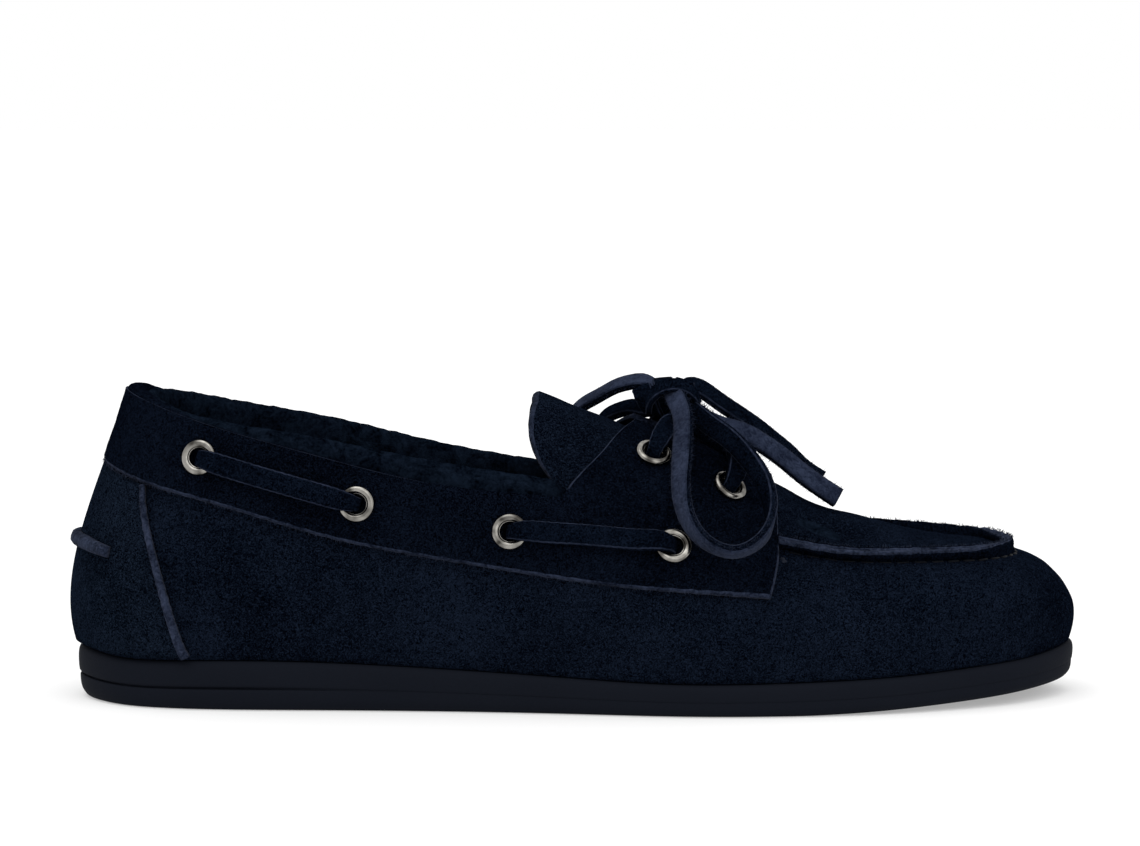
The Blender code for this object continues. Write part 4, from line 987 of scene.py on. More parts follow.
# A dish's middle lies this far below its ring's face, and its floor and rim have these radii
DISH_MIDDLE = 0.0016
DISH_FLOOR = 0.0022
DISH_RIM = 0.0034


def smooth_step(value, low, high):
    t = np.clip((value - low) / (high - low), 0.0, 1.0)
    return t * t * (3.0 - 2.0 * t)


def find_skin(side, row, v, x, z):
    """The row and parameter where the band's face has a wanted x and height."""
    at = np.array((row, v))
    target = np.array((x, z))

    def position(spot):
        return lifted(place_of(spot[0], side), spot[1], BAND_TOP)[[0, 2]]

    for step in range(12):
        here = position(at)
        by_row = (position(at + (0.01, 0.0)) - here) / 0.01
        by_v = (position(at + (0.0, 0.01)) - here) / 0.01
        at = at + np.clip(np.linalg.solve(np.column_stack((by_row, by_v)), target - here), -0.4, 0.4)
    return float(at[0]), float(at[1])


eyelets = {}
for side, word in ((-1.0, "outer"), (1.0, "inner")):
    for number, x, z in SIDE_EYELETS + THROAT_EYELETS:
        start = (1.5 + 9.5 * x, 0.75) if int(number) < 5 else (7.0, 1.45)
        row, v = find_skin(side, *start, HEEL_X + x * LENGTH, z * HEEL_HEIGHT)
        name = "eyelet_" + word + "_" + number
        ring = np.array([tuple(vertex.co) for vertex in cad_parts[name].data.vertices])
        middle = (ring.min(axis=0) + ring.max(axis=0)) / 2.0
        axis = np.linalg.svd(ring - ring.mean(axis=0))[2][2]
        axis = axis * np.sign(np.dot(axis, (0.0, side, 0.4)))
        face = middle + axis * np.max((ring - middle) @ axis)
        eyelets[name] = {"side": side, "row": row, "v": v, "axis": axis, "face": face}
centres = np.array([eyelet["face"] - eyelet["axis"] * DISH_MIDDLE for eyelet in eyelets.values()])


def eyelet_dish(points, depth):
    """The hide is punched inside each eyelet, which shows as a small deep dish."""
    distance = np.min(np.linalg.norm(points[..., None, :] - centres, axis=-1), axis=-1)
    return -depth * (1.0 - smooth_step(distance, DISH_FLOOR, DISH_RIM))


print("eyelets measured:", len(eyelets))

# %% [markdown]
# ## Vamp and quarters
# The wall of the upper is one long panel round the shoe. Round the toe it is gathered into the
# apron seam, which leaves small radial tucks between the stitches. Farther back it is calm, with
# only the shallow hollows that soft suede takes on. Both are moves along the skin's own
# direction, so the panel keeps its place on the last.

# %% The wall panel
STITCH_PITCH = 0.0046
WALL_STEP = 0.00125
WALL_DISH = 0.0034
seam_dense = np.linspace(0.0, LOOP, 4001)
seam_reach = reach_along(rim(seam_dense))


def along_rim(place):
    """Metres from the heel to a place, measured along the rim."""
    return np.interp(place % LOOP, seam_dense, seam_reach)


def wall_relief(place, v):
    """How far the wall stands off the last: tucks at the toe, hollows in the quarters."""
    row = row_of(place)
    drop = np.linalg.norm(rim(place) - skin(place, v), axis=-1)
    reach = along_rim(place)
    gather = smooth_step(row, 9.3, 12.0) * np.exp(-((drop - 0.0030) / 0.0042) ** 2)
    tuck = 0.5 + 0.5 * np.cos(2.0 * math.pi * reach / STITCH_PITCH + 0.5 * np.sin(reach * 160.0))
    groove = smooth_step(row, 7.95, 8.2) * np.exp(-(drop / 0.0016) ** 2)
    hollow = 0.00022 * np.sin(reach * 62.0 + 4.0 * v) * np.sin(3.1 * v + reach * 17.0)
    toe = 0.00018 * np.sin(reach * 95.0 + 2.0 * np.sin(9.0 * v))
    calm = np.sin(np.clip(v, 0.0, 1.0) * math.pi)
    quarter = smooth_step(row, 0.3, 2.0)
    soft = (hollow * quarter + toe * smooth_step(row, 8.5, 10.0)) * calm
    return soft - 0.00030 * gather * tuck - 0.0005 * groove


wall_places = even_places(lambda place: wall(place, 0.6 + 0.0 * place), 0.0, LOOP, WALL_STEP)[:-1]
levels = np.concatenate((np.linspace(0.0, 0.80, 27), np.linspace(0.82, 1.0, 16)))
place_net, v_net = np.meshgrid(wall_places, levels, indexing="ij")
under_fold = np.where((row_of(place_net) < THROAT_ROW) & (v_net > 0.97), 0.97, v_net)
relief = wall_relief(place_net, under_fold)
dish = eyelet_dish(skin(place_net, under_fold), WALL_DISH)
wall_outer = lifted(place_net, under_fold, relief + dish)
wall_inner = lifted(place_net, under_fold, dish - UPPER_WALL)
wall_inner[:, 0, 2] = wall_outer[:, 0, 2]
wall_outer = np.concatenate((wall_outer, wall_outer[:1]))
wall_inner = np.concatenate((wall_inner, wall_inner[:1]))
raw = np.zeros((len(wall_outer), len(levels)), dtype=bool)
vamp = panel("suede_wall", list(wall_outer), list(wall_inner), raw, (vamp_suede, raw_edge, lining_leather))
dress(vamp, "navy_suede", "upper")
print("wall panel faces:", len(vamp.data.polygons))

# %% [markdown]
# ## Apron
# The plug on top of the toe is the other half of the hand-sewn seam. Its edge turns up to meet
# the wall's edge, and near the band it carries soft creases, where the foot bends. The creases
# are three troughs and a ridge along short lines, listed one by one.

# %% The apron panel
# Crease start and end as x and height, depth and half width, in metres
CREASES = (
    ((0.0545, 0.0492), (0.0715, 0.0430), 0.0026, 0.0018),
    ((0.0548, 0.0447), (0.0606, 0.0412), 0.0018, 0.0014),
    ((0.0560, 0.0525), (0.0720, 0.0470), 0.0012, 0.0017),
    ((0.0660, 0.0478), (0.0860, 0.0425), -0.0007, 0.0026),
)


def crease_relief(points, side):
    """The creases at the foot's bend, shallower on the inner side."""
    total = 0.0 * points[..., 0]
    for start, end, depth, half in CREASES:
        ahead = np.array(end) - np.array(start)
        flat = points[..., (0, 2)] - start
        share = np.clip(flat @ ahead / np.dot(ahead, ahead), 0.0, 1.0)
        away = np.linalg.norm(flat - share[..., None] * ahead, axis=-1)
        ends = np.sin(np.clip(share, 0.02, 0.98) * math.pi) ** 0.5
        total = total - depth * np.exp(-(away / half) ** 2) * ends
    return np.where(side < 0, total, total * 0.6)


APRON_REAR = 7.8
APRON_STEP = 0.0011
apron_rows = even_places(rim, APRON_REAR, float(LAST_ROW), APRON_STEP)
across_shares = np.concatenate((np.linspace(0.0, 0.2, 9)[:-1], np.linspace(0.2, 1.0, 20)))
apron_outer = []
apron_inner = []
for row in apron_rows:
    outer = []
    inner = []
    for side, shares in ((-1.0, across_shares), (1.0, across_shares[-2::-1])):
        place = place_of(row, side) + 0.0 * shares
        v = np.maximum(1.0 + shares, 1.0011)
        points = skin(place, v)
        away = np.linalg.norm(points - rim(place), axis=-1)
        gather = smooth_step(row, 9.5, 12.0) * np.exp(-((away - 0.0030) / 0.0030) ** 2)
        tuck = 0.5 + 0.5 * np.cos(2.0 * math.pi * along_rim(place) / STITCH_PITCH + 2.0)
        lift = crease_relief(points, side) + 0.0007 * np.exp(-(away / 0.0020) ** 2) - 0.00022 * gather * tuck
        lift = lift + 0.00016 * np.sin(points[:, 0] * 210.0) * np.sin(points[:, 1] * 150.0 + 1.0)
        normal = skin_normal(place, v)
        outer.append(points + normal * lift[:, None])
        inner.append(points - normal * UPPER_WALL)
    apron_outer.append(np.concatenate(outer))
    apron_inner.append(np.concatenate(inner))
raw = np.zeros((len(apron_rows), len(apron_outer[0])), dtype=bool)
apron = panel("suede_apron", apron_outer, apron_inner, raw, (vamp_suede, raw_edge, lining_leather))
dress(apron, "navy_suede", "upper")
print("apron faces:", len(apron.data.polygons))

# %% [markdown]
# ## The hand-sewn ridge
# Where wall and apron meet, both edges stand up and are sewn through. The ridge is one profile
# carried round the seam: dark suede on its sides, two pale cut edges on top with a fine line
# between them, and the whole pulled in a little at each stitch.

# %% Ridge
RIDGE_SECTION = (
    (1.10, -1.3), (1.15, -0.3), (1.22, 0.5), (1.35, 0.9), (1.58, 1.35), (1.58, 2.60), (1.15, 3.05),
    (0.60, 3.05), (0.18, 2.85), (0.0, 2.55), (-0.18, 2.80), (-0.60, 2.95), (-1.10, 2.90), (-1.45, 2.5),
    (-1.45, 1.8), (-1.25, 0.8), (-1.10, -0.3), (-1.05, -1.3),
)
RIDGE_SLOTS = (0, 0, 0, 0, 0, 1, 1, 1, 1, 1, 1, 0, 0, 0, 0, 0, 0, 0)


def sweep(line, section, side_dirs, up_dirs, slots, scale=None):
    """A closed tube that carries a section, in millimetres, along a line of points."""
    scale = np.ones(len(line)) if scale is None else scale
    rings = []
    for across, up in section:
        rings.append(line + (side_dirs * across + up_dirs * up) * 0.001 * scale[:, None])
    points = np.stack(rings, axis=1)
    faces = tube_faces(len(line), len(section))
    return points, faces, list(slots) * (len(line) - 1) + [slots[0], slots[0]]


RIDGE_START = 7.97
RIDGE_STEP = 0.0006
RIDGE_LEAN = 0.22
TOE_LEAN = 0.75
ridge_places = even_places(rim, RIDGE_START, LOOP - RIDGE_START, RIDGE_STEP)
ridge_line = rim(ridge_places)
up_dirs = skin_normal(ridge_places, 1.0)
tangents = unit(np.gradient(ridge_line, axis=0))
side_dirs = unit(np.cross(tangents, up_dirs))
toe = smooth_step(row_of(ridge_places), 10.8, 12.6)
up_dirs = unit(up_dirs + side_dirs * (RIDGE_LEAN - TOE_LEAN * toe)[:, None])
side_dirs = unit(np.cross(tangents, up_dirs))
points, faces, slots = sweep(ridge_line, RIDGE_SECTION, side_dirs, up_dirs, RIDGE_SLOTS)
reach = along_rim(ridge_places)
pull = 0.5 + 0.5 * np.cos(2.0 * math.pi * reach / STITCH_PITCH)
gathered = smooth_step(row_of(ridge_places), 9.0, 11.5)
points = points - side_dirs[:, None] * (pull * (0.00012 + 0.00016 * gathered))[:, None, None]
waver = 0.00013 * wobble(reach, 0.0060, 2.0) - 0.00016 * gathered * pull
points = points + up_dirs[:, None] * waver[:, None, None]
for j in range(3, 14):
    points[:, j] += side_dirs * (0.00007 * wobble(reach, 0.0017, 1.0 + j))[:, None]
ridge = mesh_piece("apron_ridge", points.reshape(-1, 3), faces, slots, (band_suede, seam_edge))
dress(ridge, "navy_suede")
print("ridge length:", round((reach[-1] - reach[0]) * 1000), "mm")

# %% [markdown]
# ## Collar band and eyestays
# The band is a second layer of suede round the collar that widens into the eyestays. Its lower
# and front edges are cut raw. At the top it rolls over the wall, which a soft bead shows.

# %% Band
def speed_of(path, at):
    """How many metres one share is at a place of a path."""
    return np.linalg.norm(path(at + 0.01) - path(at), axis=-1) / 0.01


EAR_CUT = 0.095
BAND_STEP = 0.0013
BAND_DISH = 0.0026
RAW_REACH = 0.00082


def ear_rows_at(row, shares, slot):
    """The ear's rear edge is cut in a shallow curve, so its rows run a little farther forward."""
    part = np.clip((shares - 1.0) / max(slot, 0.01), 0.0, 1.0)
    cut = EAR_CUT * np.exp(-((part - 0.42) / 0.28) ** 2) * np.clip(part / 0.15, 0.0, 1.0)
    return row + cut * (1.0 - float(smooth_step(row, THROAT_ROW, 7.2)))


rear_rows = even_places(rim, 0.0, THROAT_ROW, BAND_STEP)
row_speed = float(speed_of(rim, 7.0))
ear_rows = with_edge(THROAT_ROW, BAND_FRONT, row_speed, 38, True, True)
band_rows = np.concatenate((rear_rows[:-1], ear_rows))
band_places = np.concatenate((place_of(band_rows[::-1], 1.0 + 0.0 * band_rows), band_rows[1:]))
band_starts = wall_share(band_places, band_line(row_of(band_places))[:, 0])
outer_net = []
inner_net = []
near_net = []
for place, start in zip(band_places, band_starts):
    row = float(row_of(place))
    side = float(side_of(place))
    speed = float(speed_of(lambda t: wall(place, t), start))
    start = start + 0.00014 * float(wobble(along_rim(place), 0.0050, 3.0)) / speed
    shares = with_edge(start, 1.0, speed, 20)
    near = (shares - start) * speed
    near = np.minimum(near, (BAND_FRONT - row) * row_speed)
    if row >= THROAT_ROW:
        slot = float(throat_share(row, side))
        lid_speed = float(speed_of(lambda w: instep(row, side, w), slot * 0.5))
        lid = with_edge(0.0, slot, lid_speed, 14, False, True)[1:]
        lid_near = np.minimum((slot - lid) * lid_speed, (BAND_FRONT - row) * row_speed)
        lid_near = np.minimum(lid_near, (row - THROAT_ROW) * row_speed)
        shares = np.concatenate((shares, 1.0 + lid))
        near = np.concatenate((near, lid_near))
    places = place + 0.0 * shares
    if row >= THROAT_ROW:
        places = place_of(ear_rows_at(row, shares, slot), side + 0.0 * shares)
    base = skin(places, shares)
    normal = skin_normal(places, shares)
    dish = eyelet_dish(base, BAND_DISH)
    uneven = 0.00010 * wobble(shares * 60.0 + row * 9.0, 7.0, 1.0)
    top = BAND_GAP + BAND_THICKNESS * edge_drop(near) + uneven + dish
    outer_net.append(base + normal * top[:, None])
    inner_net.append(base + normal * (BAND_GAP + dish)[:, None])
    near_net.append(near)
raw = []
for first, second in zip(near_net[:-1], near_net[1:]):
    count = min(len(first), len(second)) - 1
    farthest = np.max((first[:count], first[1:count + 1], second[:count], second[1:count + 1]), axis=0)
    raw.append(farthest <= RAW_REACH)
band = panel("suede_band", outer_net, inner_net, raw, (band_suede, raw_edge, lining_leather))
dress(band, "navy_suede", "collar_band")
print("band faces:", len(band.data.polygons))

# %% Rolled top of the band
def rim_up(places):
    """The direction in which the wall climbs where it meets the rim."""
    level = 0.0 * places
    return unit(wall(places, level + 1.0) - wall(places, level + 0.97))


ROLLED_END = 5.96
BEAD_STEP = 0.0012
BEAD_HALVES = (1.95, 1.25)
bead_places = even_places(rim, -ROLLED_END, ROLLED_END, BEAD_STEP) % LOOP
bead_up = rim_up(bead_places)
bead_out = skin_normal(bead_places, 1.0)
heel = 1.0 - smooth_step(row_of(bead_places), 0.6, 2.6)
bead_line = rim(bead_places) - bead_up * (0.0011 - 0.0012 * heel)[:, None]
bead_line = bead_line - bead_out * (0.0012 * heel)[:, None]
turns = np.linspace(0.0, 2.0 * math.pi, 21)[:-1]
BEAD_SECTION = [(BEAD_HALVES[0] * math.cos(turn), BEAD_HALVES[1] * math.sin(turn)) for turn in turns]
reach = along_rim(bead_places)
points, faces, slots = sweep(bead_line, BEAD_SECTION, bead_out, bead_up, [0] * len(turns), 1.0 + 0.35 * heel)
points = points + bead_up[:, None] * (0.00012 * wobble(reach, 0.014, 1.3))[:, None, None]
bead = mesh_piece("rolled_collar", points.reshape(-1, 3), faces, slots, (band_suede,))
dress(bead, "navy_suede")
print("rolled collar:", round(len(bead_places) * BEAD_STEP * 1000), "mm long")

# %% [markdown]
# ## Padded collar lining
# Inside the collar runs a soft padded roll of thin leather. The padding pushes it out and the
# stitching holds it down, so it creases crosswise every few millimetres. It is a fat oval carried
# round the collar, with the creases pressed in along its inner face.

# %% Padded roll
ROLL_END = 6.08
ROLL_STEP = 0.0011
ROLL_HALVES = (2.6, 7.0)
ROLL_SINK = 0.0070
ROLL_INSET = 0.0049
ROLL_TAPER = 0.0055
# The near side of the padding lies flatter behind the collar, in metres at each row
ROLL_FLATTER = (0.0, 0.0012, 0.0026, 0.0022, 0.0012, 0.0, 0.0)
roll_places = even_places(rim, -ROLL_END, ROLL_END, ROLL_STEP) % LOOP
roll_up = rim_up(roll_places)
roll_out = skin_normal(roll_places, 0.99)
rise = band_line(row_of(roll_places))[:, 1]
flatter = np.interp(row_of(roll_places), range(7), ROLL_FLATTER)
rise = rise - np.where(side_of(roll_places) < 0.0, flatter, 0.0)
roll_line = rim(roll_places) + roll_up * (rise - ROLL_SINK)[:, None] - roll_out * ROLL_INSET
turns = np.linspace(0.0, 2.0 * math.pi, 29)[:-1]
plump = np.sign(np.sin(turns)) * np.abs(np.sin(turns)) ** 0.9
ROLL_SECTION = np.stack((ROLL_HALVES[0] * np.cos(turns), ROLL_HALVES[1] * plump), axis=1)
rank = np.arange(len(roll_places))
end_distance = np.minimum(rank, rank[::-1]) * ROLL_STEP
taper = np.sqrt(np.clip(end_distance / ROLL_TAPER, 0.10, 1.0))
points, faces, slots = sweep(roll_line, ROLL_SECTION, roll_out, roll_up, [0] * len(turns), taper)
reach = along_rim(roll_places)
for j, turn in enumerate(turns):
    crease = wobble(reach + 0.0012 * math.sin(3.0 * turn), 0.0085, 2.0 + 0.35 * math.sin(turn))
    fine = wobble(reach, 0.0034, 4.0 + turn)
    amount = (0.00030 * crease + 0.00010 * fine) * (0.6 - 0.4 * math.cos(turn))
    points[:, j] += (roll_out * math.cos(turn) + roll_up * math.sin(turn)) * amount[:, None]
roll = mesh_piece("padded_collar", points.reshape(-1, 3), faces, slots, (lining_leather,))
dress(roll, "navy_leather_lining", "collar_roll")
print("padded roll faces:", len(roll.data.polygons))

# %% [markdown]
# ## Heel counter, its raised seam and the heel tab
# The counter is an overlay round the heel. Its front edge is covered by a narrow strip of cut
# hide that stands up as a pale line, and a short folded tab crosses the back.

# %% Heel counter
COUNTER_EDGE = np.array((
    (0.155, 0.1285), (0.207, 0.1200), (0.302, 0.1104), (0.394, 0.1024),
    (0.472, 0.0955), (0.564, 0.0879), (0.641, 0.0837), (0.720, 0.0833),
))
COUNTER_FOOT = 0.02
COUNTER_GAP = 0.0004
COUNTER_THICKNESS = 0.0010
COUNTER_REACH = 0.034


def counter_v(place, share):
    """Where a share of the counter's height lies on the skin."""
    top = wall_share(place, band_line(row_of(place))[..., 0] - 0.0005)
    return COUNTER_FOOT + share * (top - COUNTER_FOOT)


def behind_edge(row, share):
    """Whether a point lies behind the front edge of the counter."""
    point = wall(row, counter_v(row, share))
    line = np.interp(point[..., 2], COUNTER_EDGE[:, 0] * HEEL_HEIGHT, HEEL_X + COUNTER_EDGE[:, 1] * LENGTH)
    return point[..., 0] < line


counter_shares = np.linspace(0.0, 1.0, 34)
level = 0.0 * counter_shares
edge_rows = share_at(lambda row: behind_edge(row, counter_shares), level + 0.5, level + 4.0)
spread = with_edge(0.0, 1.0, COUNTER_REACH, 30, False, True)
outer_net = []
inner_net = []
near_net = []
for side, parts in ((1.0, spread[::-1]), (-1.0, spread[1:])):
    for part in parts:
        rows = edge_rows * part
        place = place_of(rows, side + 0.0 * rows)
        v = counter_v(place, counter_shares)
        near = (1.0 - part) * COUNTER_REACH + 0.0 * v
        outer_net.append(lifted(place, v, COUNTER_GAP + COUNTER_THICKNESS * edge_drop(near)))
        inner_net.append(lifted(place, v, COUNTER_GAP + 0.0 * v))
        near_net.append(near)
raw = [np.full(len(counter_shares), False) for column in outer_net]
counter = panel("suede_counter", outer_net, inner_net, raw, (counter_suede, raw_edge, lining_leather))
dress(counter, "navy_suede", "heel_counter")
print("counter faces:", len(counter.data.polygons))

# %% Raised seam strips
STRIP_SECTION = (
    (1.0, -0.5), (1.02, 0.1), (0.85, 0.62), (0.45, 0.80), (0.0, 0.78), (-0.45, 0.80),
    (-0.85, 0.62), (-1.02, 0.1), (-1.0, -0.5),
)
STRIP_LENGTH = 0.048
STRIP_SETBACK = 0.025


def seam_strip(name, side):
    """The strip of cut hide along the counter's front edge."""
    shares = np.linspace(0.0, 1.0, 90)
    rows = np.interp(shares, counter_shares, edge_rows) - STRIP_SETBACK
    place = place_of(rows, side + 0.0 * rows)
    v = counter_v(place, shares)
    line = lifted(place, v, COUNTER_GAP + COUNTER_THICKNESS + 0.0 * v)
    up = skin_normal(place, v)
    ahead = unit(np.gradient(line, axis=0))
    across = unit(np.cross(ahead, up))
    slim = 1.20 - 0.45 * shares
    points, faces, slots = sweep(line, STRIP_SECTION, across, up, [0] * len(STRIP_SECTION), slim)
    reach = shares * STRIP_LENGTH
    points = points + across[:, None] * (0.00010 * wobble(reach, 0.0030, 1.0))[:, None, None]
    points[:, 2:7] += up[:, None] * (0.00014 * wobble(reach, 0.0026, 5.0))[:, None, None]
    strip = mesh_piece(name, points.reshape(-1, 3), faces, slots, (seam_edge,))
    return dress(strip, "navy_suede")


for name, side in (("heel_seam_outer", -1.0), ("heel_seam_inner", 1.0)):
    strip = seam_strip(name, side)
    print(name, "faces:", len(strip.data.polygons))

# %% Heel tab
# Row, then the height of the lower and the upper edge
TAB = np.array(((0.00, 0.478, 0.540), (0.70, 0.474, 0.532), (1.35, 0.462, 0.508)))
# Share of the tab's height and of its thickness
TAB_PROFILE = np.array((
    (0.0, 0.15), (0.08, 0.55), (0.25, 0.92), (0.5, 1.0), (0.75, 0.92), (0.92, 0.55), (1.0, 0.15),
))
TAB_END = 1.35
TAB_THICKNESS = 0.0019
tab_low = COUNTER_GAP + COUNTER_THICKNESS + CLEARANCE
outer_net = []
inner_net = []
for row in np.linspace(-TAB_END, TAB_END, 81):
    place = np.array(float(row) % LOOP)
    size = abs(row)
    bottom = np.interp(size, TAB[:, 0], TAB[:, 1]) * HEEL_HEIGHT
    top = np.interp(size, TAB[:, 0], TAB[:, 2]) * HEEL_HEIGHT
    heights = bottom + (top - bottom) * (0.12 + 0.76 * TAB_PROFILE[:, 0])
    place = place + 0.0 * heights
    v = wall_share(place, heights)
    end = math.sqrt(min((TAB_END + 0.01 - size) / 0.10, 1.0))
    ragged = 0.00008 * float(wobble(row * 0.02, 0.0035, 2.0))
    thickness = (TAB_THICKNESS * TAB_PROFILE[:, 1] + ragged) * (0.4 + 0.6 * end)
    outer_net.append(lifted(place, v, tab_low + thickness))
    inner_net.append(lifted(place, v, tab_low - 0.0003 + 0.0 * v))
raw = [np.full(6, True) for column in outer_net]
tab = panel("suede_tab", outer_net, inner_net, raw, (counter_suede, seam_edge, lining_leather))
dress(tab, "navy_suede", "heel_tab")
print("tab faces:", len(tab.data.polygons))

# %% [markdown]
# ## Tongue
# The tongue is a thick piece of suede that arches under the eyestays and stands free behind
# them. Its rear edge is cut raw with a stitch line inside it.

# %% Tongue
TONGUE_SIDE = 0.10
TONGUE_DROP = UPPER_WALL + 0.0008
TONGUE_THICKNESS = 0.0022
# Rear edge of the tongue as height and x
TONGUE_EDGE = np.array((
    (0.0520, -0.0024), (0.0546, -0.0034), (0.0609, -0.0070), (0.0643, -0.0089), (0.0680, -0.0101),
    (0.0713, -0.0106), (0.0751, -0.0105), (0.0780, -0.0100), (0.0799, -0.0093), (0.0830, -0.0092),
))
TONGUE_SWEEP = 5.5
# Metres in one share across the tongue, and in one row along it
TONGUE_HALF = 0.045
TONGUE_ROW = 0.0125 / 1.4


def tongue_point(rows, side, shares):
    """A point of the tongue's upper side, with its rear edge swept to the shape it was cut to."""
    sides = side + 0.0 * rows
    point = instep(rows, sides, shares)
    rear = instep(4.0 + 0.0 * rows, sides, shares)
    shift = np.interp(rear[:, 2], TONGUE_EDGE[:, 0], TONGUE_EDGE[:, 1]) - rear[:, 0]
    point[:, 0] += shift * (1.0 - smooth_step(rows, 4.0, TONGUE_SWEEP))
    return point


tongue_rows = np.concatenate((4.0 + EDGE_STEPS / TONGUE_ROW, np.linspace(4.16, 8.5, 66)))
half_shares = with_edge(TONGUE_SIDE, 1.0, TONGUE_HALF, 26)
outer_net = []
inner_net = []
near_net = []
for row in tongue_rows:
    outer = []
    inner = []
    for side, shares in ((-1.0, half_shares), (1.0, half_shares[-2::-1])):
        rows = row + 0.0 * shares
        normal = instep_normal(rows, side + 0.0 * rows, shares)
        near_crown = smooth_step(shares, 0.90, 1.0)[:, None]
        normal = unit(normal * (1.0 - near_crown) + crown_normal(rows) * near_crown)
        near = np.minimum((shares - TONGUE_SIDE) * TONGUE_HALF, (row - 4.0) * TONGUE_ROW)
        point = tongue_point(rows, side, shares)
        soft = 0.00016 * np.sin(row * 5.0 + shares * 9.0) * np.sin(shares * 12.0)
        lift = -TONGUE_DROP - TONGUE_THICKNESS * (1.0 - edge_drop(near)) + soft
        outer.append(point + normal * lift[:, None])
        inner.append(point - normal * (TONGUE_DROP + TONGUE_THICKNESS))
    outer_net.append(np.concatenate(outer))
    inner_net.append(np.concatenate(inner))
raw = [np.full(len(outer_net[0]), i < 2) for i in range(len(outer_net))]
tongue = panel("suede_tongue", outer_net, inner_net, raw, (tongue_suede, raw_edge, tongue_suede))
dress(tongue, "navy_suede", "tongue")
print("tongue faces:", len(tongue.data.polygons))

# %% [markdown]
# ## Eyelets
# An eyelet is a rolled nickel ring on a short barrel. One is modelled from a torus that is
# flattened in edit mode, with a tube for its barrel, and is then copied to each place.

# %% One eyelet
RING_RADIUS = 0.0036
RING_TUBE = 0.00098
BARREL_RADIUS = 0.0029
BARREL_DEPTH = 0.0034
BARREL_WALL = 0.0004
RING_MIDDLE = 0.0009
bpy.ops.object.select_all(action="DESELECT")
bpy.ops.mesh.primitive_torus_add(
    major_radius=RING_RADIUS, minor_radius=RING_TUBE, major_segments=56, minor_segments=16,
)
eyelet_ring = bpy.context.object
bpy.ops.object.mode_set(mode="EDIT")
bpy.ops.mesh.select_all(action="SELECT")
bpy.ops.transform.resize(value=(1.0, 1.0, 0.80))
bpy.ops.object.mode_set(mode="OBJECT")
bpy.ops.object.select_all(action="DESELECT")
bpy.ops.mesh.primitive_cylinder_add(
    vertices=56, radius=BARREL_RADIUS, depth=BARREL_DEPTH, end_fill_type="NOTHING",
    location=(0.0, 0.0, -0.0014),
)
barrel = bpy.context.object
wall_modifier = barrel.modifiers.new("barrel_wall", "SOLIDIFY")
wall_modifier.thickness = BARREL_WALL
wall_modifier.offset = -1.0
bpy.ops.object.modifier_apply(modifier="barrel_wall")
eyelet_ring.select_set(True)
bpy.context.view_layer.objects.active = eyelet_ring
bpy.ops.object.join()
bpy.ops.object.transform_apply(location=True, rotation=True, scale=True)
bpy.ops.object.shade_smooth()
eyelet_ring.data.materials.append(nickel)
print("eyelet faces:", len(eyelet_ring.data.polygons))

# %% Twelve eyelets
def set_on(mesh, middle, ahead, up):
    """Moves a mesh from the origin to a place, with its X ahead and its Z up."""
    across = np.cross(up, ahead)
    turn = Matrix((
        (ahead[0], across[0], up[0], middle[0]),
        (ahead[1], across[1], up[1], middle[1]),
        (ahead[2], across[2], up[2], middle[2]),
        (0.0, 0.0, 0.0, 1.0),
    ))
    mesh.transform(turn)


for name, eyelet in eyelets.items():
    copy = bpy.data.objects.new(name + "_nickel", eyelet_ring.data.copy())
    bpy.context.scene.collection.objects.link(copy)
    ahead = unit(np.cross((0.0, 1.0, 0.0), eyelet["axis"]))
    set_on(copy.data, eyelet["face"] - eyelet["axis"] * RING_MIDDLE, ahead, eyelet["axis"])
    dress(copy, "nickel", name)
bpy.data.objects.remove(eyelet_ring)
print("eyelets set:", len(eyelets))

# %% [markdown]
# ## Lace on the sides and over the throat
# The lace shows between two pairs of eyelets on each side and crosses the throat twice. Each
# stretch rises out of one eyelet, lies along the band and dives into the next.

# %% Lace between the eyelets
# Distance from the eyelet, lift over the band and width of the strip
BAR_START = (
    (0.0000, -0.0008, 0.0036), (0.0006, 0.0012, 0.0038), (0.0019, 0.0026, 0.0046),
    (0.0048, 0.0032, 0.0054), (0.0078, 0.0024, 0.0056),
)
BAR_LIFT = 0.0017
BAR_WIDTH = 0.0056


def fit_strip(name, node, route, across, widths):
    """A strip of lace through a few given rings, made fine along a smooth curve."""
    route = np.array(route)
    reach = reach_along(route)
    curve = Curve(reach, np.concatenate((route, np.array(across), np.array(widths)[:, None]), axis=1))
    fine = curve(np.linspace(0.0, reach[-1], 90))
    strip = lace_strip(name, fine[:, :3], unit(fine[:, 3:6]), fine[:, 6], DARK_LACE)[0]
    return dress(strip, "navy_lace_leather", node)


def side_bar(node, start, end):
    """The lace from one eyelet of the band to the next."""
    side = start["side"]
    shares = np.linspace(0.0, 1.0, 41)
    rows = start["row"] + (end["row"] - start["row"]) * shares
    vs = start["v"] + (end["v"] - start["v"]) * shares
    base = lifted(place_of(rows, side + 0.0 * rows), vs, BAND_TOP + 0.0 * vs)
    reach = reach_along(base)
    total = reach[-1]
    middle = [(total * share, BAR_LIFT, BAR_WIDTH) for share in (0.32, 0.41, 0.5, 0.59, 0.68)]
    last = [(total - distance, lift, width) for distance, lift, width in reversed(BAR_START)]
    stations = list(BAR_START) + middle + last
    route = []
    across = []
    for distance, lift, width in stations:
        share = np.interp(distance, reach, shares)
        row = start["row"] + (end["row"] - start["row"]) * share
        v = start["v"] + (end["v"] - start["v"]) * share
        place = place_of(row, side)
        normal = skin_normal(place, v)
        route.append(lifted(place, v, BAND_TOP) + normal * lift)
        across.append(unit(np.cross(normal, unit(base[-1] - base[0]))))
    return fit_strip(node + "_hide", node, route, across, [width for distance, lift, width in stations])


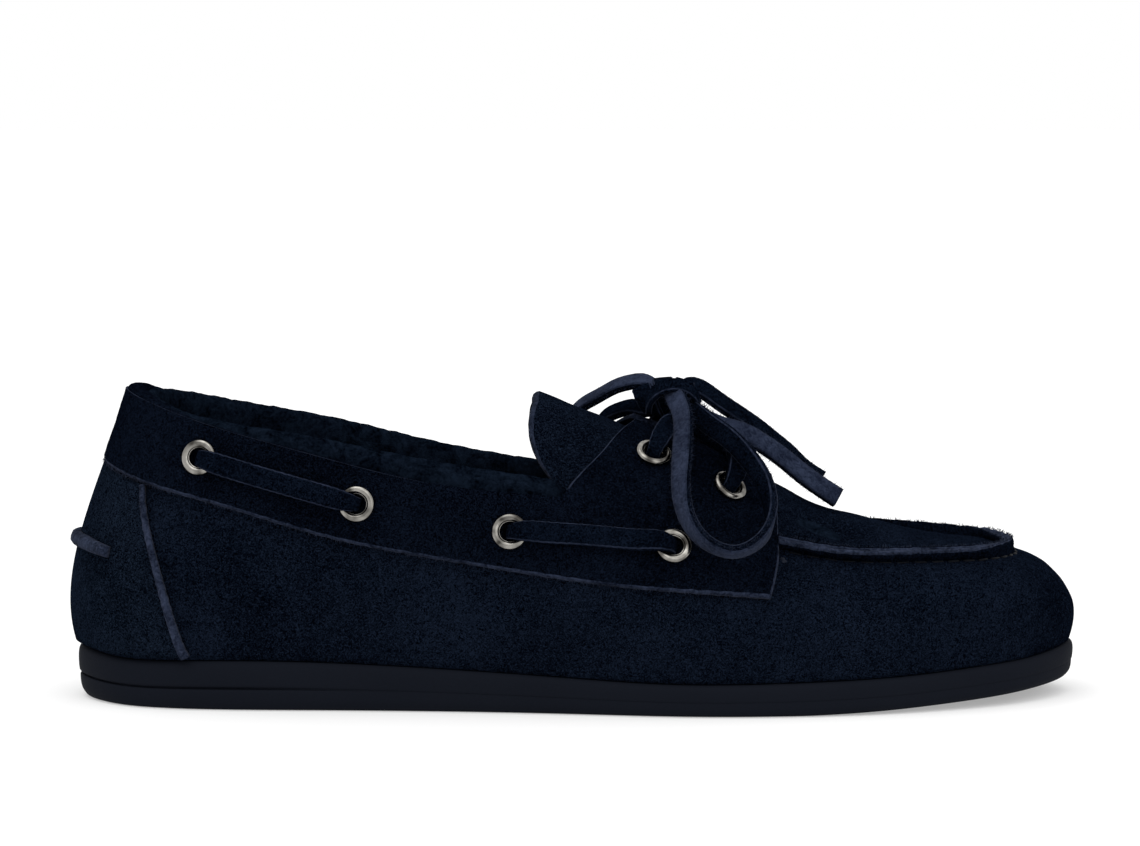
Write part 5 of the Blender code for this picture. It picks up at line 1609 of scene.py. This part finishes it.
for word in ("outer", "inner"):
    for first, second in (("1", "2"), ("3", "4")):
        start = eyelets["eyelet_" + word + "_" + first]
        end = eyelets["eyelet_" + word + "_" + second]
        bar = side_bar("lace_bar_" + word + "_" + first, start, end)
        print(bar.name, "faces:", len(bar.data.polygons))

# %% Lace over the throat
THROAT_START = BAR_START[:3] + ((0.0056, 0.0031, 0.0053),)
AHEAD = np.array((1.0, 0.0, 0.0))


def crossing(node, number, rises):
    """The lace over the throat, through a few points above the skin."""
    outer = eyelets["eyelet_outer_" + number]
    inner = eyelets["eyelet_inner_" + number]
    row = (outer["row"] + inner["row"]) / 2.0
    middles = []
    for share, rise in rises:
        side = -1.0 if share < 0 else 1.0
        v = 2.0 - abs(share) * (1.0 - float(throat_share(row, side)))
        middles.append(lifted(place_of(row, side), v, BAND_TOP) + UP * rise)
    stations = []
    for eyelet, goal in ((outer, middles[0]), (inner, middles[-1])):
        place = place_of(eyelet["row"], eyelet["side"])
        normal = skin_normal(place, eyelet["v"])
        base = lifted(place, eyelet["v"], BAND_TOP)
        ahead = goal - base
        ahead = unit(ahead - normal * np.dot(ahead, normal))
        half = [
            (base + ahead * distance + normal * lift, np.cross(normal, ahead) * -eyelet["side"], width)
            for distance, lift, width in THROAT_START
        ]
        if eyelet is outer:
            stations += half + [(point, AHEAD, LACE_WIDTH) for point in middles]
        else:
            stations += reversed(half)
    return fit_strip(node + "_hide", node, *zip(*stations))


crossing("lace_crossing_front", "5", ((-1.0, 0.0028), (-0.01, 0.0010), (1.0, 0.0028)))
crossing("lace_crossing_rear", "6", ((-1.0, 0.0026), (-0.01, 0.0010), (1.0, 0.0026)))
print("crossings made")

# %% [markdown]
# ## Thread
# A stitch is a short bar of thread with its ends pulled into the hide. One is modelled from a
# cube, bevelled round and bent down at its ends, and then laid along each seam line in turn.

# %% One stitch
bpy.ops.object.select_all(action="DESELECT")
bpy.ops.mesh.primitive_cube_add(size=1.0)
stitch = bpy.context.object
bpy.ops.object.mode_set(mode="EDIT")
bpy.ops.mesh.select_all(action="SELECT")
bpy.ops.transform.resize(value=(1.0, 0.26, 0.20))
bpy.ops.mesh.bevel(offset=0.07, segments=1, affect="EDGES")
bpy.ops.object.mode_set(mode="OBJECT")
stitch_points = np.array([tuple(vertex.co) for vertex in stitch.data.vertices])
stitch_faces = [tuple(polygon.vertices) for polygon in stitch.data.polygons]
stitch_points[:, 2] -= 0.28 * np.clip(np.abs(stitch_points[:, 0]) * 2.0, 0.0, 1.0) ** 3
bpy.data.objects.remove(stitch)
print("stitch faces:", len(stitch_faces))


def sew(name, points, normals, pitch, size, material):
    """Stitches of one size laid end to end along a line that lies on the hide."""
    points = np.asarray(points)
    reach = reach_along(points)
    count = int(reach[-1] / pitch)
    vertices = []
    faces = []

    def read(values, at):
        return np.array([np.interp(at, reach, values[:, axis]) for axis in range(3)])

    for k in range(count):
        at = (k + 0.5) * reach[-1] / count
        spot = read(points, at)
        up = unit(read(normals, at))
        ahead = unit(read(points, at + pitch * 0.3) - read(points, at - pitch * 0.3))
        ahead = unit(ahead - up * np.dot(ahead, up))
        across = np.cross(up, ahead)
        tilt = 0.10 * math.sin(k * 2.4)
        ahead, across = ahead + across * tilt, across - ahead * tilt
        local = stitch_points * size
        faces += [tuple(corner + k * len(stitch_points) for corner in face) for face in stitch_faces]
        vertices.append(spot + local[:, :1] * ahead + local[:, 1:2] * across + local[:, 2:] * up)
    piece = mesh_piece(name, np.concatenate(vertices), faces, [0] * len(faces), (material,))
    return dress(piece, "navy_suede")

# %% Seam lines
FINE_PITCH = 0.0027
FINE_SIZE = np.array((0.0021, 0.0019, 0.0019))
INSIDE = 0.0017
COUNTER_INSIDE = 0.115


def line_on_skin(places, vs, lift):
    """A line that lies on the hide and its outward directions."""
    return lifted(places, vs, lift + 0.0 * vs), skin_normal(places, vs)


def sew_fine(name, places, vs, lift=BAND_TOP):
    """A row of fine dark stitches on the hide."""
    sew(name, *line_on_skin(places, vs, lift), FINE_PITCH, FINE_SIZE, dark_thread)


low_places = np.concatenate((LOOP - np.linspace(7.93, 0.0, 200), np.linspace(0.0, 7.93, 200)[1:])) % LOOP
low_v = wall_share(low_places, band_line(row_of(low_places))[:, 0])
low_v = low_v + INSIDE / speed_of(lambda t: wall(low_places, t), low_v)
sew_fine("thread_band_low", low_places, low_v)
for word, side in (("outer", -1.0), ("inner", 1.0)):
    front_row = BAND_FRONT - INSIDE / row_speed
    front_place = float(place_of(front_row, side))
    foot = float(wall_share(front_place, band_line(front_row)[0])) + 0.06
    slot = float(throat_share(front_row, side))
    vs = np.linspace(foot, 1.0 + slot - 0.07, 80)
    sew_fine("thread_band_front_" + word, front_place + 0.0 * vs, vs)
    rows = np.linspace(THROAT_ROW + 0.06, BAND_FRONT - 0.08, 80)
    slots = throat_share(rows, side + 0.0 * rows)
    lid_speed = speed_of(lambda w: instep(rows, side + 0.0 * rows, w), slots * 0.5)
    sew_fine("thread_throat_" + word, place_of(rows, side + 0.0 * rows), 1.0 + slots - INSIDE / lid_speed)
    shares = np.linspace(0.06, 0.98, 60)
    rows = np.interp(shares, counter_shares, edge_rows) - COUNTER_INSIDE
    places = place_of(rows, side + 0.0 * rows)
    sew_fine("thread_counter_" + word, places, counter_v(places, shares), COUNTER_GAP + COUNTER_THICKNESS)
print("fine stitch rows sewn")

# %% Fibres on the cut edges of the suede
edge_places = low_places[::2]
edge_v = wall_share(edge_places, band_line(row_of(edge_places))[:, 0])
edge_line, edge_up = line_on_skin(edge_places, edge_v, BAND_GAP + 0.8 * BAND_THICKNESS)
ridge_top = ridge_line + up_dirs * 0.0029
ridge_outer = ridge_top + side_dirs * 0.0014
ridge_inner = ridge_top - side_dirs * 0.0011
# Name, roots, the way the fibres point, count, length, seed and finish
EDGE_FIBRES = (
    ("fibres_band", edge_line, edge_up * 0.4 - UP, 900, 0.0011, 11, raw_edge),
    ("fibres_ridge_outer", ridge_outer, side_dirs * 0.6 + up_dirs, 700, 0.0010, 12, seam_edge),
    ("fibres_ridge_inner", ridge_inner, up_dirs - side_dirs * 0.6, 500, 0.0010, 13, seam_edge),
)
for name, roots, outward, count, length, seed, hide in EDGE_FIBRES:
    fluff(name, roots, unit(outward), count, length, seed, hide, "navy_suede")
print("fibres on the cut edges")

# %% Tongue and apron stitches
APRON_SIZE = np.array((0.0034, 0.0030, 0.0030))
KNOT_PITCH = 0.0015
KNOT_SIZE = np.array((0.0020, 0.0036, 0.0042))
# How far each stitch of a thread knot runs ahead and rises
KNOT_STITCHES = ((0.0009, 0.0003), (0.0003, 0.0009), (-0.0005, 0.0008))
shares = np.linspace(TONGUE_SIDE + 0.03, 1.0, 60)
points = []
normals = []
for side, part in ((-1.0, shares), (1.0, shares[-2::-1])):
    rows = 4.45 + 0.0 * part
    normal = instep_normal(rows, side + 0.0 * rows, part)
    points.append(tongue_point(rows, side, part) - normal * TONGUE_DROP)
    normals.append(normal)
sew("thread_tongue", np.concatenate(points), np.concatenate(normals), FINE_PITCH, FINE_SIZE, thread)
seam_places = even_places(rim, 8.1, LOOP - 8.1, 0.002)
seam_up = skin_normal(seam_places, 0.985)
seam_line = rim(seam_places)
seam_out = unit(np.cross(unit(np.gradient(seam_line, axis=0)), seam_up))
seam_line = seam_line + seam_out * 0.0017 + seam_up * 0.0002
sew("thread_apron", seam_line, seam_up, STITCH_PITCH, APRON_SIZE, dark_thread)
for word, side in (("outer", -1.0), ("inner", 1.0)):
    spot = place_of(8.06, side) + np.zeros(3)
    centre, up = line_on_skin(spot, np.full(3, 0.885), 0.0002)
    for k, (ahead, rise) in enumerate(KNOT_STITCHES):
        reach = np.array((-ahead, 0.0, -rise))
        ends = centre + np.array((-1.0, 0.0, 1.0))[:, None] * reach + up * 0.0002 * k
        sew("thread_knot_" + word + "_" + str(k + 1), ends, up, KNOT_PITCH, KNOT_SIZE, thread)
print("apron sewn, stitch pitch", STITCH_PITCH * 1000, "mm")

# %% [markdown]
# ## Floor and light
# The photograph has a seamless white ground with only a thin shadow where the sole touches. A
# large plane that glows a little loses its horizon in the white world, and the light that it
# scatters itself leaves the soft contact shadow. Two broad, far lights, one from above and one
# from the front, model the form.

# %% Studio
bpy.ops.object.select_all(action="DESELECT")
bpy.ops.mesh.primitive_plane_add(size=30.0, location=(0.0, 0.0, 0.0))
floor = bpy.context.object
floor.name = "studio_floor"
paper = Finish("white_paper", Roughness=0.9, Specular_IOR_Level=0.0, Emission_Strength=0.345)
paper.shader.inputs["Emission Color"].default_value = (1.0, 1.0, 1.0, 1.0)
fibre = paper.noise(12.0, 2.0)
paper.shade("Base Color", paper.mix(fibre, (0.61, 0.61, 0.61), (0.63, 0.63, 0.63)))
floor.data.materials.append(paper.material)
world = bpy.data.worlds.new("white_studio")
world.use_nodes = True
world.node_tree.nodes["Background"].inputs["Color"].default_value = (1.0, 1.0, 1.0, 1.0)
world.node_tree.nodes["Background"].inputs["Strength"].default_value = 1.0
bpy.context.scene.world = world
bpy.context.scene.view_settings.view_transform = "Standard"


def soft_light(name, lean, turn, spread, strength):
    """A far, broad light that leans from straight above and is turned about the vertical."""
    bpy.ops.object.light_add(type="SUN", rotation=(math.radians(lean), 0.0, math.radians(turn)))
    light = bpy.context.object
    light.name = name
    light.data.energy = strength
    light.data.angle = math.radians(spread)


soft_light("top_light", 18.0, -35.0, 50.0, 0.9)
soft_light("front_light", 58.0, 25.0, 50.0, 0.5)
